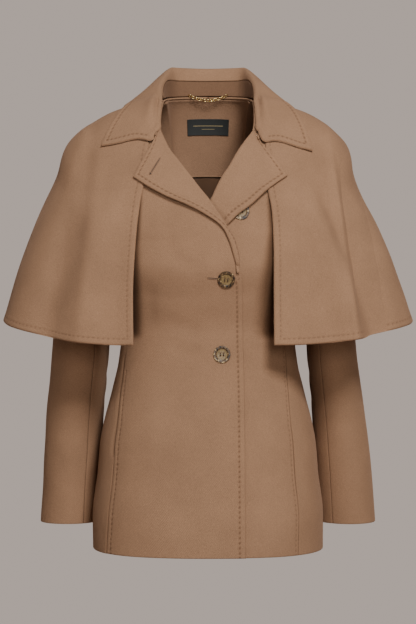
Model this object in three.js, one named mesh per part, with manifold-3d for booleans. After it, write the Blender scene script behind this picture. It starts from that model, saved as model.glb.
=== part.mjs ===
import * as THREE from 'three';
import { mergeVertices } from 'three/addons/utils/BufferGeometryUtils.js';
import Module from 'manifold-3d';

// A hollow wool jacket with a shoulder capelet, filled out as if it were worn.
// Millimetres, +Z up. The front faces -Y and the wearer's left is +X.
// The origin is midway between the two points where the shoulder seams meet the neck.

const CLOTH = 2.5;
const CAPE_CLOTH = 3;
const COLLAR_CLOTH = 3.5;
const LAPEL_CLOTH = 2.6;
const LINING_CLOTH = 1.2;
const SEAM = 0.3;

const HEM = -667;
const UNDERARM = -215;
const NECK_HALF = 66;
const NECK_BACK = { depth: 80, rise: 14 };
const SHOULDER = { x: 184, z: -50 };
const ARMHOLE = { x: 159, depth: 62 };
const FRONT_POWER = 2.6;
const BACK_POWER = 2.2;
const CHEST_POWER = 1.7;
const UPPER_BACK_POWER = 2;
const NECK_POWER = 2.6;

// Level sections of the body: half the width, and the depth before and behind the side seams.
const BODY = [
  { z: -667, half: 171.5, front: 153, back: 147 },
  { z: -619, half: 172, front: 148, back: 149 },
  { z: -556, half: 164.5, front: 139, back: 145 },
  { z: -510, half: 160.5, front: 132, back: 138 },
  { z: -478, half: 154.5, front: 127, back: 131 },
  { z: -436, half: 144, front: 119, back: 121 },
  { z: -393, half: 134, front: 114, back: 110 },
  { z: -350, half: 129.5, front: 113, back: 103 },
  { z: -300, half: 139, front: 124, back: 107 },
  { z: -250, half: 156, front: 136, back: 114 },
  { z: -215, half: 159, front: 134, back: 118 },
];

// The shoulder line, carried on to the middle of the neck.
const SHOULDER_LINE = [
  { x: 0, z: 16 },
  { x: 66, z: 0 },
  { x: 131, z: -19 },
  { x: 160, z: -32 },
  { x: 184, z: -50 },
];

// The fronts' inner edges: the turned edge below, the roll line of the lapel, then the neck seam.
const OVER_EDGE = [
  { z: -667, x: 54 },
  { z: -444, x: 53 },
  { z: -355, x: 51 },
  { z: -289, x: 50 },
  { z: -262, x: 47.5 },
  { z: -240, x: 45 },
  { z: -216, x: 39 },
  { z: -200, x: 30 },
  { z: -177, x: 16 },
  { z: -158, x: 3 },
  { z: -141, x: -11 },
  { z: -121, x: -26 },
  { z: -98, x: -43 },
  { z: -82, x: -55 },
  { z: -55, x: -68 },
  { z: -40, x: -69.5 },
  { z: -20, x: -68.5 },
  { z: 0, x: -66 },
];
const UNDER_EDGE = [
  { z: -667, x: -6 },
  { z: -220, x: -6 },
  { z: -182, x: -5 },
  { z: -158, x: 3 },
  { z: -148, x: 8 },
  { z: -136, x: 13 },
  { z: -124, x: 19 },
  { z: -106, x: 31 },
  { z: -80, x: 46 },
  { z: -55, x: 64 },
  { z: -40, x: 67 },
  { z: -20, x: 67.5 },
  { z: 0, x: 66 },
];
const ROLL_SET_BACK = 7.4;
const OVER_BREAK = -263;
const UNDER_BREAK = -189;

// Where the princess seams run, as turns round the body from the centre front.
const PRINCESS = [
  { z: -667, right: 55, left: 44 },
  { z: -596, right: 52.5, left: 44.5 },
  { z: -490, right: 53.5, left: 45.5 },
  { z: -423, right: 60, left: 51 },
  { z: -384, right: 63, left: 55 },
  { z: -300, right: 62, left: 57 },
  { z: -215, right: 60, left: 60 },
];
const PRINCESS_TOP = 1.42;

// How far the lapping fronts part: the right one is raised, the left one sinks.
const LAP = { raise: 1.5, sink: 1.6, extraRaise: 1.5, extraSink: 3, z: -188, reach: 45 };

// Lapels, from the break up to the gorge: the roll line, the outer edge, and how proud the edge stands.
const LAPEL_RIGHT = [
  { at: 0, rollX: 47.5, rollZ: -262, edgeX: 42.5, edgeZ: -262, stand: 3 },
  { at: 0.07, rollX: 45, rollZ: -240, edgeX: 36.5, edgeZ: -240, stand: 3.4 },
  { at: 0.16, rollX: 39, rollZ: -216, edgeX: 30, edgeZ: -218, stand: 4 },
  { at: 0.25, rollX: 30, rollZ: -200, edgeX: 19, edgeZ: -197, stand: 4.5 },
  { at: 0.36, rollX: 16, rollZ: -177, edgeX: -6, edgeZ: -179, stand: 5.5 },
  { at: 0.46, rollX: 3, rollZ: -158, edgeX: -31, edgeZ: -166, stand: 6.5 },
  { at: 0.56, rollX: -11, rollZ: -141, edgeX: -59, edgeZ: -154, stand: 7 },
  { at: 0.66, rollX: -26, rollZ: -121, edgeX: -83, edgeZ: -141, stand: 7.5 },
  { at: 0.78, rollX: -43, rollZ: -98, edgeX: -106, edgeZ: -126, stand: 8 },
  { at: 0.88, rollX: -55, rollZ: -82, edgeX: -92, edgeZ: -98, stand: 8 },
  { at: 1, rollX: -68, rollZ: -55, edgeX: -77, edgeZ: -71, stand: 7 },
];
const LAPEL_LEFT = [
  { at: 0, rollX: -5, rollZ: -182, edgeX: 14, edgeZ: -207, stand: 3.2 },
  { at: 0.14, rollX: 3, rollZ: -158, edgeX: 26, edgeZ: -196, stand: 3.2 },
  { at: 0.19, rollX: 6, rollZ: -152, edgeX: 33, edgeZ: -189, stand: 5.8 },
  { at: 0.26, rollX: 9, rollZ: -145, edgeX: 41, edgeZ: -181, stand: 6.6 },
  { at: 0.36, rollX: 13, rollZ: -136, edgeX: 64, edgeZ: -163, stand: 7.6 },
  { at: 0.46, rollX: 20, rollZ: -123, edgeX: 86, edgeZ: -143, stand: 8.1 },
  { at: 0.6, rollX: 31, rollZ: -106, edgeX: 113, edgeZ: -123, stand: 8 },
  { at: 0.8, rollX: 46, rollZ: -80, edgeX: 95, edgeZ: -99, stand: 8 },
  { at: 1, rollX: 64, rollZ: -55, edgeX: 74, edgeZ: -75, stand: 7 },
];

// Collar, from the gorge at the front round to the centre back.
const COLLAR = [
  { at: 0, neckX: 67, neckY: -77, neckZ: -57, rollX: 68, rollY: -84, rollZ: -54, edgeX: 159, edgeY: -71, edgeZ: -80 },
  { at: 0.12, neckX: 68.5, neckY: -64.5, neckZ: -39, rollX: 71, rollY: -69, rollZ: -36, edgeX: 145, edgeY: -50, edgeZ: -58 },
  { at: 0.24, neckX: 68, neckY: -44, neckZ: -18.5, rollX: 72, rollY: -47, rollZ: -15, edgeX: 130, edgeY: -29, edgeZ: -30 },
  { at: 0.37, neckX: 66.5, neckY: -16, neckZ: -1, rollX: 71, rollY: -18, rollZ: 4, edgeX: 118, edgeY: -5, edgeZ: -9 },
  { at: 0.52, neckX: 64.6, neckY: 20, neckZ: 4.8, rollX: 68.5, rollY: 16, rollZ: 27, edgeX: 128, edgeY: 26, edgeZ: -7 },
  { at: 0.69, neckX: 57, neckY: 52.5, neckZ: 10, rollX: 58, rollY: 57, rollZ: 51, edgeX: 114, edgeY: 70, edgeZ: -10 },
  { at: 0.8, neckX: 42, neckY: 71, neckZ: 13.2, rollX: 50, rollY: 77, rollZ: 61, edgeX: 86, edgeY: 98, edgeZ: -16 },
  { at: 1, neckX: 0, neckY: 81.5, neckZ: 15.2, rollX: 0, rollY: 87, rollZ: 60, edgeX: 0, edgeY: 117, edgeZ: -20 },
];
const LEFT_TIP = { x: -6, y: -4, z: -9, fade: 0.24 };
// How far up from the neck to the roll the collar is sewn to its stand.
const STAND = [
  { at: 0, share: 0.06 },
  { at: 0.3, share: 0.06 },
  { at: 0.42, share: 0.36 },
  { at: 0.51, share: 0.62 },
  { at: 0.6, share: 0.76 },
  { at: 0.69, share: 0.66 },
  { at: 0.8, share: 0.53 },
  { at: 1, share: 0.53 },
];
const ROLL_RADIUS = 5;
const GORGE = { share: 0.13, drop: 14, fade: 0.16 };

// Capelet rings from the neck to the hem: the front edges, the side and the centre back.
// The left side hangs closer, as the wearer's left arm does.
const CAPE = [
  { at: 0, right: 86, left: 84, edgeY: -81, edgeZ: -68, sideX: 86, closer: 0, sideZ: -1, backY: 96, backZ: 0 },
  { at: 0.12, right: 87, left: 83, edgeY: -92, edgeZ: -84, sideX: 108, closer: 1, sideZ: -7, backY: 102, backZ: -14 },
  { at: 0.24, right: 89, left: 83, edgeY: -102, edgeZ: -105, sideX: 131, closer: 3, sideZ: -14.5, backY: 110, backZ: -37 },
  { at: 0.34, right: 91, left: 84, edgeY: -109, edgeZ: -126, sideX: 159, closer: 4, sideZ: -26, backY: 118, backZ: -62 },
  { at: 0.44, right: 96, left: 87, edgeY: -116, edgeZ: -150, sideX: 187, closer: 2, sideZ: -47, backY: 126, backZ: -92 },
  { at: 0.54, right: 100, left: 92, edgeY: -122, edgeZ: -180, sideX: 211, closer: 6, sideZ: -86, backY: 134, backZ: -126 },
  { at: 0.66, right: 104, left: 94, edgeY: -129, edgeZ: -225, sideX: 238, closer: 8, sideZ: -138, backY: 142, backZ: -175 },
  { at: 0.83, right: 107, left: 94, edgeY: -137, edgeZ: -296, sideX: 274, closer: 5, sideZ: -224, backY: 157, backZ: -258 },
  { at: 1, right: 106, left: 94, edgeY: -144, edgeZ: -365.5, sideX: 306.5, closer: 1, sideZ: -331, backY: 174, backZ: -352 },
];
const CAPE_SIDE = 0.45;
const CAPE_POWER = 2.25;
const CAPE_CORNER = 1.9;
const CAPE_CLEAR = { front: 3.6, round: 5.9 };
const CAPE_FREE = { from: 0.28, to: 0.6 };
const COLLAR_CLEAR = COLLAR_CLOTH + 1;
const COLLAR_REACH = 16;

// Soft folds of the capelet: where they are round it, half their width, and how far they stand out.
const CAPE_FOLDS = [
  { side: -1, at: 0.03, width: 0.035, height: -3 },
  { side: -1, at: 0.1, width: 0.045, height: 6 },
  { side: -1, at: 0.19, width: 0.05, height: -6 },
  { side: -1, at: 0.31, width: 0.06, height: 4 },
  { side: 1, at: 0.06, width: 0.05, height: -4 },
  { side: 1, at: 0.155, width: 0.035, height: 12 },
  { side: 1, at: 0.215, width: 0.04, height: -9 },
  { side: 1, at: 0.34, width: 0.06, height: 5 },
  { side: -1, at: 0.58, width: 0.05, height: -6 },
  { side: -1, at: 0.7, width: 0.05, height: 8 },
  { side: -1, at: 0.86, width: 0.06, height: -6 },
  { side: 1, at: 0.56, width: 0.05, height: -5 },
  { side: 1, at: 0.66, width: 0.05, height: 7 },
  { side: 1, at: 0.8, width: 0.06, height: -7 },
];

// Sleeve sections from the cuff to the bicep. The left sleeve is slimmer at the elbow by what it bends.
const SLEEVE = [
  { z: -636, inner: 168.5, outer: 254.5, slimmer: 0, midY: 44, depth: 47 },
  { z: -547, inner: 163, outer: 249.7, slimmer: 2, midY: 39, depth: 52 },
  { z: -462, inner: 157, outer: 243.5, slimmer: 7, midY: 32, depth: 56 },
  { z: -357, inner: 149, outer: 234, slimmer: 12, midY: 20, depth: 63 },
  { z: -300, inner: 149, outer: 231, slimmer: 11, midY: 13, depth: 67 },
  { z: -240, inner: 162, outer: 231, slimmer: 6, midY: 5, depth: 69 },
];
const CUFF = -636;
const BICEP = -240;
const SLEEVE_SEAMS = { front: 56, back: 285 };

const LINING_HEM = -645;
const PLEAT = { height: 1.2, turn: 3.5 };
const LABEL = { width: 65, height: 25, top: -17, thick: 0.8 };
const PIPING = 1;

const BUTTON = { radius: 12.5, thick: 2.8, rim: 4.5, hole: 1.1, spacing: 1.85 };
const BUTTONS = [
  { name: 'button_top', layer: 'under', x: 47, z: -174 },
  { name: 'button_middle', layer: 'over', x: 26, z: -272 },
  { name: 'button_lower', layer: 'over', x: 20, z: -379 },
];

const CHAIN = { half: 27.5, top: 15, sag: 7, y: 73.35, links: 9, long: 1.35, ring: 2.3, wire: 0.7 };

const wool = new THREE.MeshStandardMaterial({ color: 0x9c7453, roughness: 0.95, metalness: 0 });
const facingWool = new THREE.MeshStandardMaterial({ color: 0x6e5037, roughness: 0.95, metalness: 0 });
const satin = new THREE.MeshStandardMaterial({ color: 0x553c23, roughness: 0.45, metalness: 0 });
const labelCloth = new THREE.MeshStandardMaterial({ color: 0x1e201e, roughness: 0.7, metalness: 0 });
const horn = new THREE.MeshStandardMaterial({ color: 0x4a3620, roughness: 0.25, metalness: 0 });
const gold = new THREE.MeshStandardMaterial({ color: 0xb58b3c, roughness: 0.3, metalness: 1 });

const radians = THREE.MathUtils.degToRad;
const mix = THREE.MathUtils.lerp;
const smooth = (from, to, x) => {
  const t = THREE.MathUtils.clamp((x - from) / (to - from), 0, 1);
  return t * t * (3 - 2 * t);
};
const bell = (x, centre, width) => Math.exp(-(((x - centre) / width) ** 2));
const power = (x, exponent) => Math.sign(x) * Math.abs(x) ** exponent;
const evenly = (count, from = 0, to = 1) =>
  Array.from({ length: count + 1 }, (_, i) => mix(from, to, i / count));

// A smooth curve, free of overshoot, through one named column of a table sorted by its key.
function column(rows, key, name) {
  const xs = rows.map((row) => row[key]);
  const ys = rows.map((row) => row[name]);
  const steps = xs.slice(1).map((x, i) => (ys[i + 1] - ys[i]) / (x - xs[i]));
  const slopes = xs.map((_, i) => {
    const before = steps[Math.max(i - 1, 0)];
    const after = steps[Math.min(i, steps.length - 1)];
    return before * after <= 0 ? 0 : (2 * before * after) / (before + after);
  });
  return (x) => {
    let i = 0;
    while (i < xs.length - 2 && x > xs[i + 1]) i += 1;
    const span = xs[i + 1] - xs[i];
    const t = (x - xs[i]) / span;
    const u = 1 - t;
    return (
      ys[i] * u * u * (1 + 2 * t) +
      ys[i + 1] * t * t * (3 - 2 * t) +
      span * t * u * (slopes[i] * u - slopes[i + 1] * t)
    );
  };
}

// Straight lines through one named column of a table sorted by its key.
function polyline(rows, key, name) {
  return (x) => {
    let i = 0;
    while (i < rows.length - 2 && x > rows[i + 1][key]) i += 1;
    const t = (x - rows[i][key]) / (rows[i + 1][key] - rows[i][key]);
    return mix(rows[i][name], rows[i + 1][name], t);
  };
}

// The value between low and high at which a rising function reaches zero.
function solve(rising, low, high) {
  let [a, b] = [low, high];
  for (let i = 0; i < 40; i += 1) {
    const middle = (a + b) / 2;
    if (rising(middle) < 0) a = middle;
    else b = middle;
  }
  return (a + b) / 2;
}

// The unit vector square to a surface at one place.
function squareTo(surface, u, v, du, dv) {
  const across = surface(u + du, v).sub(surface(u - du, v));
  const along = surface(u, v + dv).sub(surface(u, v - dv));
  return across.cross(along).normalize();
}

// A closed solid from triangles, turned so that its faces point out.
function solid(positions, triangles) {
  let volume = 0;
  const at = (i) => new THREE.Vector3(...positions[i]);
  for (const [a, b, c] of triangles) volume += at(a).dot(at(b).cross(at(c)));
  const faces = volume < 0 ? triangles.map(([a, b, c]) => [a, c, b]) : triangles;
  const geometry = new THREE.BufferGeometry();
  geometry.setAttribute('position', new THREE.Float32BufferAttribute(positions.flat(), 3));
  geometry.setIndex(faces.flat());
  return geometry;
}

// The directions out of a grid of points, from each point's neighbours along and across.
function gridNormals(grid, turned) {
  const clip = (i, count) => THREE.MathUtils.clamp(i, 0, count - 1);
  return grid.map((row, j) => row.map((_, i) => {
    const across = row[clip(i + 1, row.length)].clone().sub(row[clip(i - 1, row.length)]);
    const above = grid[clip(j + 1, grid.length)][i];
    const along = above.clone().sub(grid[clip(j - 1, grid.length)][i]);
    return across.cross(along).normalize().multiplyScalar(turned);
  }));
}

// A wall of cloth: a grid of points on its outer face, and the same grid set in by its thickness.
// The direction out is a function, or 1 or -1 to take it from the grid.
function wall(us, vs, thick, outer, out) {
  const grid = vs.map((v) => us.map((u) => outer(u, v)));
  const normals = typeof out === 'number'
    ? gridNormals(grid, out)
    : vs.map((v) => us.map((u) => out(u, v)));
  const positions = [0, thick].flatMap((depth) => grid.flatMap((row, j) =>
    row.map((point, i) => point.clone().addScaledVector(normals[j][i], -depth).toArray())));
  const [wide, high] = [us.length, vs.length];
  const index = (face, i, j) => face * wide * high + j * wide + i;
  const triangles = [];
  const quad = (a, b, c, d) => triangles.push([a, b, c], [a, c, d]);
  for (let j = 0; j < high - 1; j += 1) {
    for (let i = 0; i < wide - 1; i += 1) {
      quad(index(0, i, j), index(0, i + 1, j), index(0, i + 1, j + 1), index(0, i, j + 1));
      quad(index(1, i, j), index(1, i, j + 1), index(1, i + 1, j + 1), index(1, i + 1, j));
    }
    quad(index(0, 0, j), index(0, 0, j + 1), index(1, 0, j + 1), index(1, 0, j));
    quad(index(0, wide - 1, j + 1), index(0, wide - 1, j), index(1, wide - 1, j), index(1, wide - 1, j + 1));
  }
  for (let i = 0; i < wide - 1; i += 1) {
    quad(index(0, i + 1, 0), index(0, i, 0), index(1, i, 0), index(1, i + 1, 0));
    quad(index(0, i, high - 1), index(0, i + 1, high - 1), index(1, i + 1, high - 1), index(1, i, high - 1));
  }
  return solid(positions, triangles);
}

const bodyHalf = column(BODY, 'z', 'half');
const bodyFront = column(BODY, 'z', 'front');
const bodyBack = column(BODY, 'z', 'back');
const shoulderZ = column(SHOULDER_LINE, 'x', 'z');

// The seam where the sleeve is set in, from the underarm (0) to the shoulder (1).
function armhole(climb) {
  const rise = (1 - Math.cos(Math.PI * climb)) / 2;
  return {
    rise,
    x: mix(ARMHOLE.x, SHOULDER.x, rise ** 1.8),
    y: ARMHOLE.depth * Math.sin(Math.PI * climb),
    z: mix(UNDERARM, SHOULDER.z, rise),
  };
}

// The top of the back or the front at a share of the shoulder's width.
function bodyTop(front, across) {
  const x = Math.abs(across) * SHOULDER.x;
  if (front || x >= NECK_HALF) return { y: 0, z: shoulderZ(x) };
  const share = (1 - (x / NECK_HALF) ** NECK_POWER) ** (1 / NECK_POWER);
  return { y: NECK_BACK.depth * share, z: NECK_BACK.rise * share };
}

// The body's outer face. A turn is in degrees, from 0 at the centre front to 180 at the centre back.
// A level is 0 at the hem, 1 at the underarm and 2 at the shoulder and neck.
function bodyPoint(turn, level) {
  const sin = Math.sin(radians(turn));
  const cos = Math.cos(radians(turn));
  const front = cos > 0;
  const exponent = 2 / (front ? FRONT_POWER : BACK_POWER);
  const across = power(sin, exponent);
  const deep = Math.abs(cos) ** exponent;
  const facing = front ? -1 : 1;
  if (level <= 1) {
    const z = mix(HEM, UNDERARM, level);
    const depth = front ? bodyFront(z) : bodyBack(z);
    return new THREE.Vector3(across * bodyHalf(z), facing * deep * depth, z);
  }
  const climb = level - 1;
  const hole = armhole(climb);
  const round = 2 / (front ? CHEST_POWER : UPPER_BACK_POWER);
  const lift = Math.sin((Math.PI / 2) * climb) ** round;
  const keep = Math.max(Math.cos((Math.PI / 2) * climb), 0) ** round;
  const top = bodyTop(front, across);
  const depth = front ? bodyFront(UNDERARM) : bodyBack(UNDERARM);
  const share = mix(lift, hole.rise, Math.abs(across) ** 3);
  return new THREE.Vector3(
    across * hole.x,
    facing * (deep * depth * keep + hole.y * (1 - deep)) + top.y * (1 - keep),
    mix(UNDERARM, top.z, share),
  );
}

// Where one front laps over the other, the right one is raised and the left one sinks.
function lapLift(layer, x, z) {
  if (layer === 'plain') return 0;
  const lapped = smooth(-95, -150, z);
  const crossing = bell(z, LAP.z, LAP.reach);
  if (layer === 'over') return lapped * smooth(-70, -20, x) * (LAP.raise + LAP.extraRaise * crossing);
  return -lapped * (1 - smooth(60, 110, x)) * (LAP.sink + LAP.extraSink * crossing);
}

function clothPoint(layer, turn, level) {
  const point = bodyPoint(turn, level);
  point.y -= lapLift(layer, point.x, point.z);
  return point;
}

// The direction out of the body, taken a little inside the armhole and below the shoulder seam.
function clothNormal(layer, turn, level) {
  const [stepTurn, stepLevel] = [1, 0.012];
  let steady = turn;
  if (level > 1) {
    const limit = Math.abs(turn) <= 90 ? [0, 90 - stepTurn] : [90 + stepTurn, 270 - stepTurn];
    steady = Math.sign(turn) * THREE.MathUtils.clamp(Math.abs(turn), ...limit);
  }
  const surface = (u, v) => clothPoint(layer, u, v);
  return squareTo(surface, steady, Math.min(level, 2 - stepLevel), stepTurn, stepLevel);
}

// The place on a front over one x and z.
function placeOnFront(x, z) {
  const turnAt = (level) => {
    const half = level <= 1 ? bodyHalf(mix(HEM, UNDERARM, level)) : armhole(level - 1).x;
    const across = THREE.MathUtils.clamp(x / half, -1, 1);
    return THREE.MathUtils.radToDeg(Math.asin(power(across, FRONT_POWER / 2)));
  };
  const level = solve((trial) => bodyPoint(turnAt(trial), trial).z - z, 0, 2);
  return { turn: turnAt(level), level };
}

// A point over one x and z of a front, moved out by a height.
function overFront(layer, x, z, height) {
  const { turn, level } = placeOnFront(x, z);
  return clothPoint(layer, turn, level).addScaledVector(clothNormal(layer, turn, level), height);
}

// A body panel between two lines, each a turn for every level.
function panel(layer, levels, shares, firstTurn, lastTurn) {
  const turnAt = (share, level) => mix(firstTurn(level), lastTurn(level), share);
  return wall(
    shares,
    levels,
    CLOTH,
    (share, level) => clothPoint(layer, turnAt(share, level), level),
    (share, level) => clothNormal(layer, turnAt(share, level), level),
  );
}

// The levels of the rows, closer together towards the shoulder.
const levelOf = (z) => (z - HEM) / (UNDERARM - HEM);
const LOW_LEVELS = evenly(9, 0, levelOf(-275));
const SHOULDER_LEVEL = 1.998;
const FACING_LEVEL = 1.316;
const SIDE_LEVELS = [1.09, 1.102, 1.15, 1.22, FACING_LEVEL, PRINCESS_TOP];
const FRONT_LEVELS = [...SIDE_LEVELS, 1.49, 1.56, 1.58, 1.65, 1.74, 1.84, 1.92, SHOULDER_LEVEL];
const BACK_LEVELS = [
  ...LOW_LEVELS, 0.95, 1,
  1.1, 1.2, FACING_LEVEL, 1.43, 1.56, 1.68, 1.79, 1.87, 1.94, SHOULDER_LEVEL,
];
const BACK_TURNS = [102, 114, 125, 135, 144, 153, 161, 166.5, 171, 176];
const ACROSS_BACK = [...BACK_TURNS, 180, ...BACK_TURNS.map((turn) => 360 - turn).reverse()];

// The turn that lies on a front's inner edge at one level.
function edgeTurn(side, level) {
  const rows = side < 0 ? OVER_EDGE : UNDER_EDGE;
  const edge = column(rows, 'z', 'x');
  const breakZ = side < 0 ? OVER_BREAK : UNDER_BREAK;
  return solve((turn) => {
    const { x, z } = bodyPoint(turn, level);
    const lean = (edge(z + 1) - edge(z - 1)) / 2;
    const back = ROLL_SET_BACK * smooth(breakZ - 2, breakZ, z) * (1 - smooth(-57, -53, z));
    return x - edge(z) - side * back * Math.hypot(1, lean);
  }, -89, 89);
}

function princessTurn(side, level) {
  const name = side < 0 ? 'right' : 'left';
  const turn = column(PRINCESS, 'z', name)(Math.min(mix(HEM, UNDERARM, level), UNDERARM));
  if (level <= 1) return turn;
  return mix(turn, 88.5, Math.min((level - 1) / (PRINCESS_TOP - 1), 1) ** 1.5);
}

// Half a seam's gap, as a turn of the body. It widens where the side front runs out at the armhole.
const SEAM_TURN = 0.07;
const seamTurn = (level) => (level > 1 ? 0.3 : SEAM_TURN);

function frontPanel(side) {
  const layer = side < 0 ? 'over' : 'under';
  const breakLevel = levelOf(side < 0 ? OVER_BREAK : UNDER_BREAK);
  const middle = side < 0
    ? [breakLevel - 0.006, breakLevel + 0.001, 0.95, 1]
    : [0.93, 1];
  const levels = [...LOW_LEVELS, ...middle, ...FRONT_LEVELS];
  const outer = (level) => side * (level > PRINCESS_TOP ? 90 : princessTurn(side, level) - seamTurn(level));
  return panel(layer, levels, evenly(11), (level) => edgeTurn(side, level), outer);
}

function sideFront(side) {
  const levels = [...LOW_LEVELS, 0.95, 1, ...SIDE_LEVELS];
  const inner = (level) => side * (princessTurn(side, level) + SEAM_TURN);
  const outer = (level) => side * (level > 1 ? 90 : 90 - SEAM_TURN);
  return panel('plain', levels, evenly(4), inner, outer);
}

function backPanel(side) {
  const first = side < 0 ? 180 : 90;
  const turns = ACROSS_BACK.filter((turn) => turn > first && turn < first + 90);
  const shares = turns.map((turn) => (turn - first) / 90);
  const from = () => first + SEAM_TURN;
  const to = () => first + 90 - SEAM_TURN;
  return panel('plain', BACK_LEVELS, [0, ...shares, 1], from, to);
}

const sleeveColumns = Object.fromEntries(
  ['inner', 'outer', 'slimmer', 'midY', 'depth'].map((name) => [name, column(SLEEVE, 'z', name)]),
);

// A sleeve's outer face. The turn is 0 next to the body, 90 at the front and 180 outside.
// The level is 0 at the cuff, 1 at the bicep and 2 at the armhole.
function sleevePoint(side, turn, level) {
  const z = Math.min(mix(CUFF, BICEP, level), BICEP);
  const inner = sleeveColumns.inner(z);
  const outer = sleeveColumns.outer(z) - (side > 0 ? sleeveColumns.slimmer(z) : 0);
  const cos = Math.cos(radians(turn));
  const sin = Math.sin(radians(turn));
  const x = (inner + outer) / 2 - ((outer - inner) / 2) * cos;
  const y = sleeveColumns.midY(z) - sleeveColumns.depth(z) * sin;
  if (level <= 1) return new THREE.Vector3(side * x, y, mix(CUFF, BICEP, level));
  const bend = ((level - 1) * Math.PI) / 2;
  const hole = armhole(Math.acos(cos) / Math.PI);
  const holeX = hole.x + 1;
  return new THREE.Vector3(
    side * (holeX + (x - holeX) * Math.cos(bend)),
    mix(y, -Math.sign(sin) * hole.y, Math.sin(bend)),
    mix(BICEP, hole.z, Math.sin(bend)),
  );
}

function sleevePanel(side, columns, first, last) {
  const surface = (turn, level) => sleevePoint(side, turn, level);
  return wall(
    evenly(columns, first + 0.2, last - 0.2),
    [...evenly(8), 1.15, 1.32, 1.5, 1.7, 1.97],
    CLOTH - 0.5,
    surface,
    (turn, level) => squareTo(surface, turn, Math.min(level, 1.96), 1, 0.012).multiplyScalar(side),
  );
}

const capeColumns = Object.fromEntries(
  Object.keys(CAPE[0]).map((name) => [name, column(CAPE, 'at', name)]),
);

// How far the capelet stands out in its folds.
function capeFold(side, part, drop) {
  const grown = smooth(0.2, 1, drop);
  return CAPE_FOLDS.filter((fold) => fold.side === side)
    .reduce((sum, fold) => sum + grown * fold.height * bell(part, fold.at, fold.width), 0);
}

// The capelet's outer face, from its front edge (0) round to the centre back (1), neck to hem.
function capePoint(side, part, drop) {
  const ring = (name) => capeColumns[name](drop);
  const edgeX = ring(side < 0 ? 'right' : 'left');
  const sideX = ring('sideX') - (side > 0 ? ring('closer') : 0);
  const [sideY, sideZ] = [6 * drop, ring('sideZ')];
  const exponent = 2 / CAPE_POWER;
  if (part <= CAPE_SIDE) {
    const angle = (part / CAPE_SIDE) * (Math.PI / 2);
    const out = Math.max(Math.sin(angle), 0) ** exponent;
    const deep = Math.max(Math.cos(angle), 0) ** exponent;
    const x = mix(edgeX, sideX, out);
    const fall = Math.max(Math.cos(angle), 0) ** mix(1, CAPE_CORNER, smooth(0.5, 1, drop));
    const z = mix(sideZ, ring('edgeZ'), fall);
    const y = mix(sideY, ring('edgeY'), deep) - capeFold(side, part, drop) * deep;
    return new THREE.Vector3(side * (x + capeFold(side, part, drop) * out), y, z);
  }
  const angle = ((part - CAPE_SIDE) / (1 - CAPE_SIDE)) * (Math.PI / 2);
  const out = power(Math.cos(angle), exponent);
  const deep = Math.abs(Math.sin(angle)) ** exponent;
  const fold = capeFold(side, part, drop);
  return new THREE.Vector3(
    side * (sideX * out + fold * out),
    mix(sideY, ring('backY'), deep) + fold * deep,
    mix(sideZ, ring('backZ'), Math.abs(Math.sin(angle))),
  );
}

// Places and directions out, sampled over a surface, that what lies on it is kept clear of.
function sampled(surface, us, vs, direction) {
  return us.flatMap((u) => vs.map((v) => ({ place: surface(u, v), out: direction(u, v) })));
}

// Moves a point to its height over the sampled surfaces, and lets it stand off as it is set free.
// A point that lies farther than the reach to the side of every sample stays where it is.
function rest(point, samples, clear, free, reach = Infinity) {
  for (let pass = 0; pass < 4; pass += 1) {
    let nearest = samples[0];
    let least = Infinity;
    for (const sample of samples) {
      const distance = sample.place.distanceToSquared(point);
      if (distance < least) [least, nearest] = [distance, sample];
    }
    const height = point.clone().sub(nearest.place).dot(nearest.out);
    if (Math.sqrt(Math.max(least - height ** 2, 0)) > reach) return point;
    if (height > clear && pass > 0) return point;
    const wanted = height > clear ? mix(clear, height, free) : clear;
    point.addScaledVector(nearest.out, wanted - height);
  }
  return point;
}

const underCape = [
  ...sampled(bodyPoint, evenly(90, -180, 180), evenly(30, 0.7, 1.99),
    (turn, level) => clothNormal('plain', turn, level)),
  ...[-1, 1].flatMap((side) => {
    const surface = (turn, level) => sleevePoint(side, turn, level);
    return sampled(surface, evenly(34, 20, 340), evenly(12, 0.9, 1.95),
      (turn, level) => squareTo(surface, turn, level, 1, 0.012).multiplyScalar(side));
  }),
];

// The capelet as it lies on the shoulders and hangs clear of the fronts, back and sleeves.
function restingCape(side, part, drop) {
  const clear = mix(CAPE_CLEAR.front, CAPE_CLEAR.round, smooth(0.1, 0.25, part));
  const free = smooth(CAPE_FREE.from, CAPE_FREE.to, drop);
  return rest(capePoint(side, part, drop), underCape, clear, free);
}

function capeHalf(side) {
  return wall(
    [...evenly(13, 0, CAPE_SIDE), ...evenly(12, CAPE_SIDE, 0.9995).slice(1)],
    [0, 0.08, 0.16, 0.24, 0.31, 0.38, 0.44, 0.5, 0.58, 0.68, 0.79, 0.9, 1],
    CAPE_CLOTH,
    (part, drop) => restingCape(side, part, drop),
    side < 0 ? 1 : -1,
  );
}

// A lapel's roll: the share of the lapel that it takes, its height, and the degrees that lead in to it.
const LAPEL_TURNED = 0.32;
const ROLL_HEIGHT = 6.4;
const LEAD_IN = 20;

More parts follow.
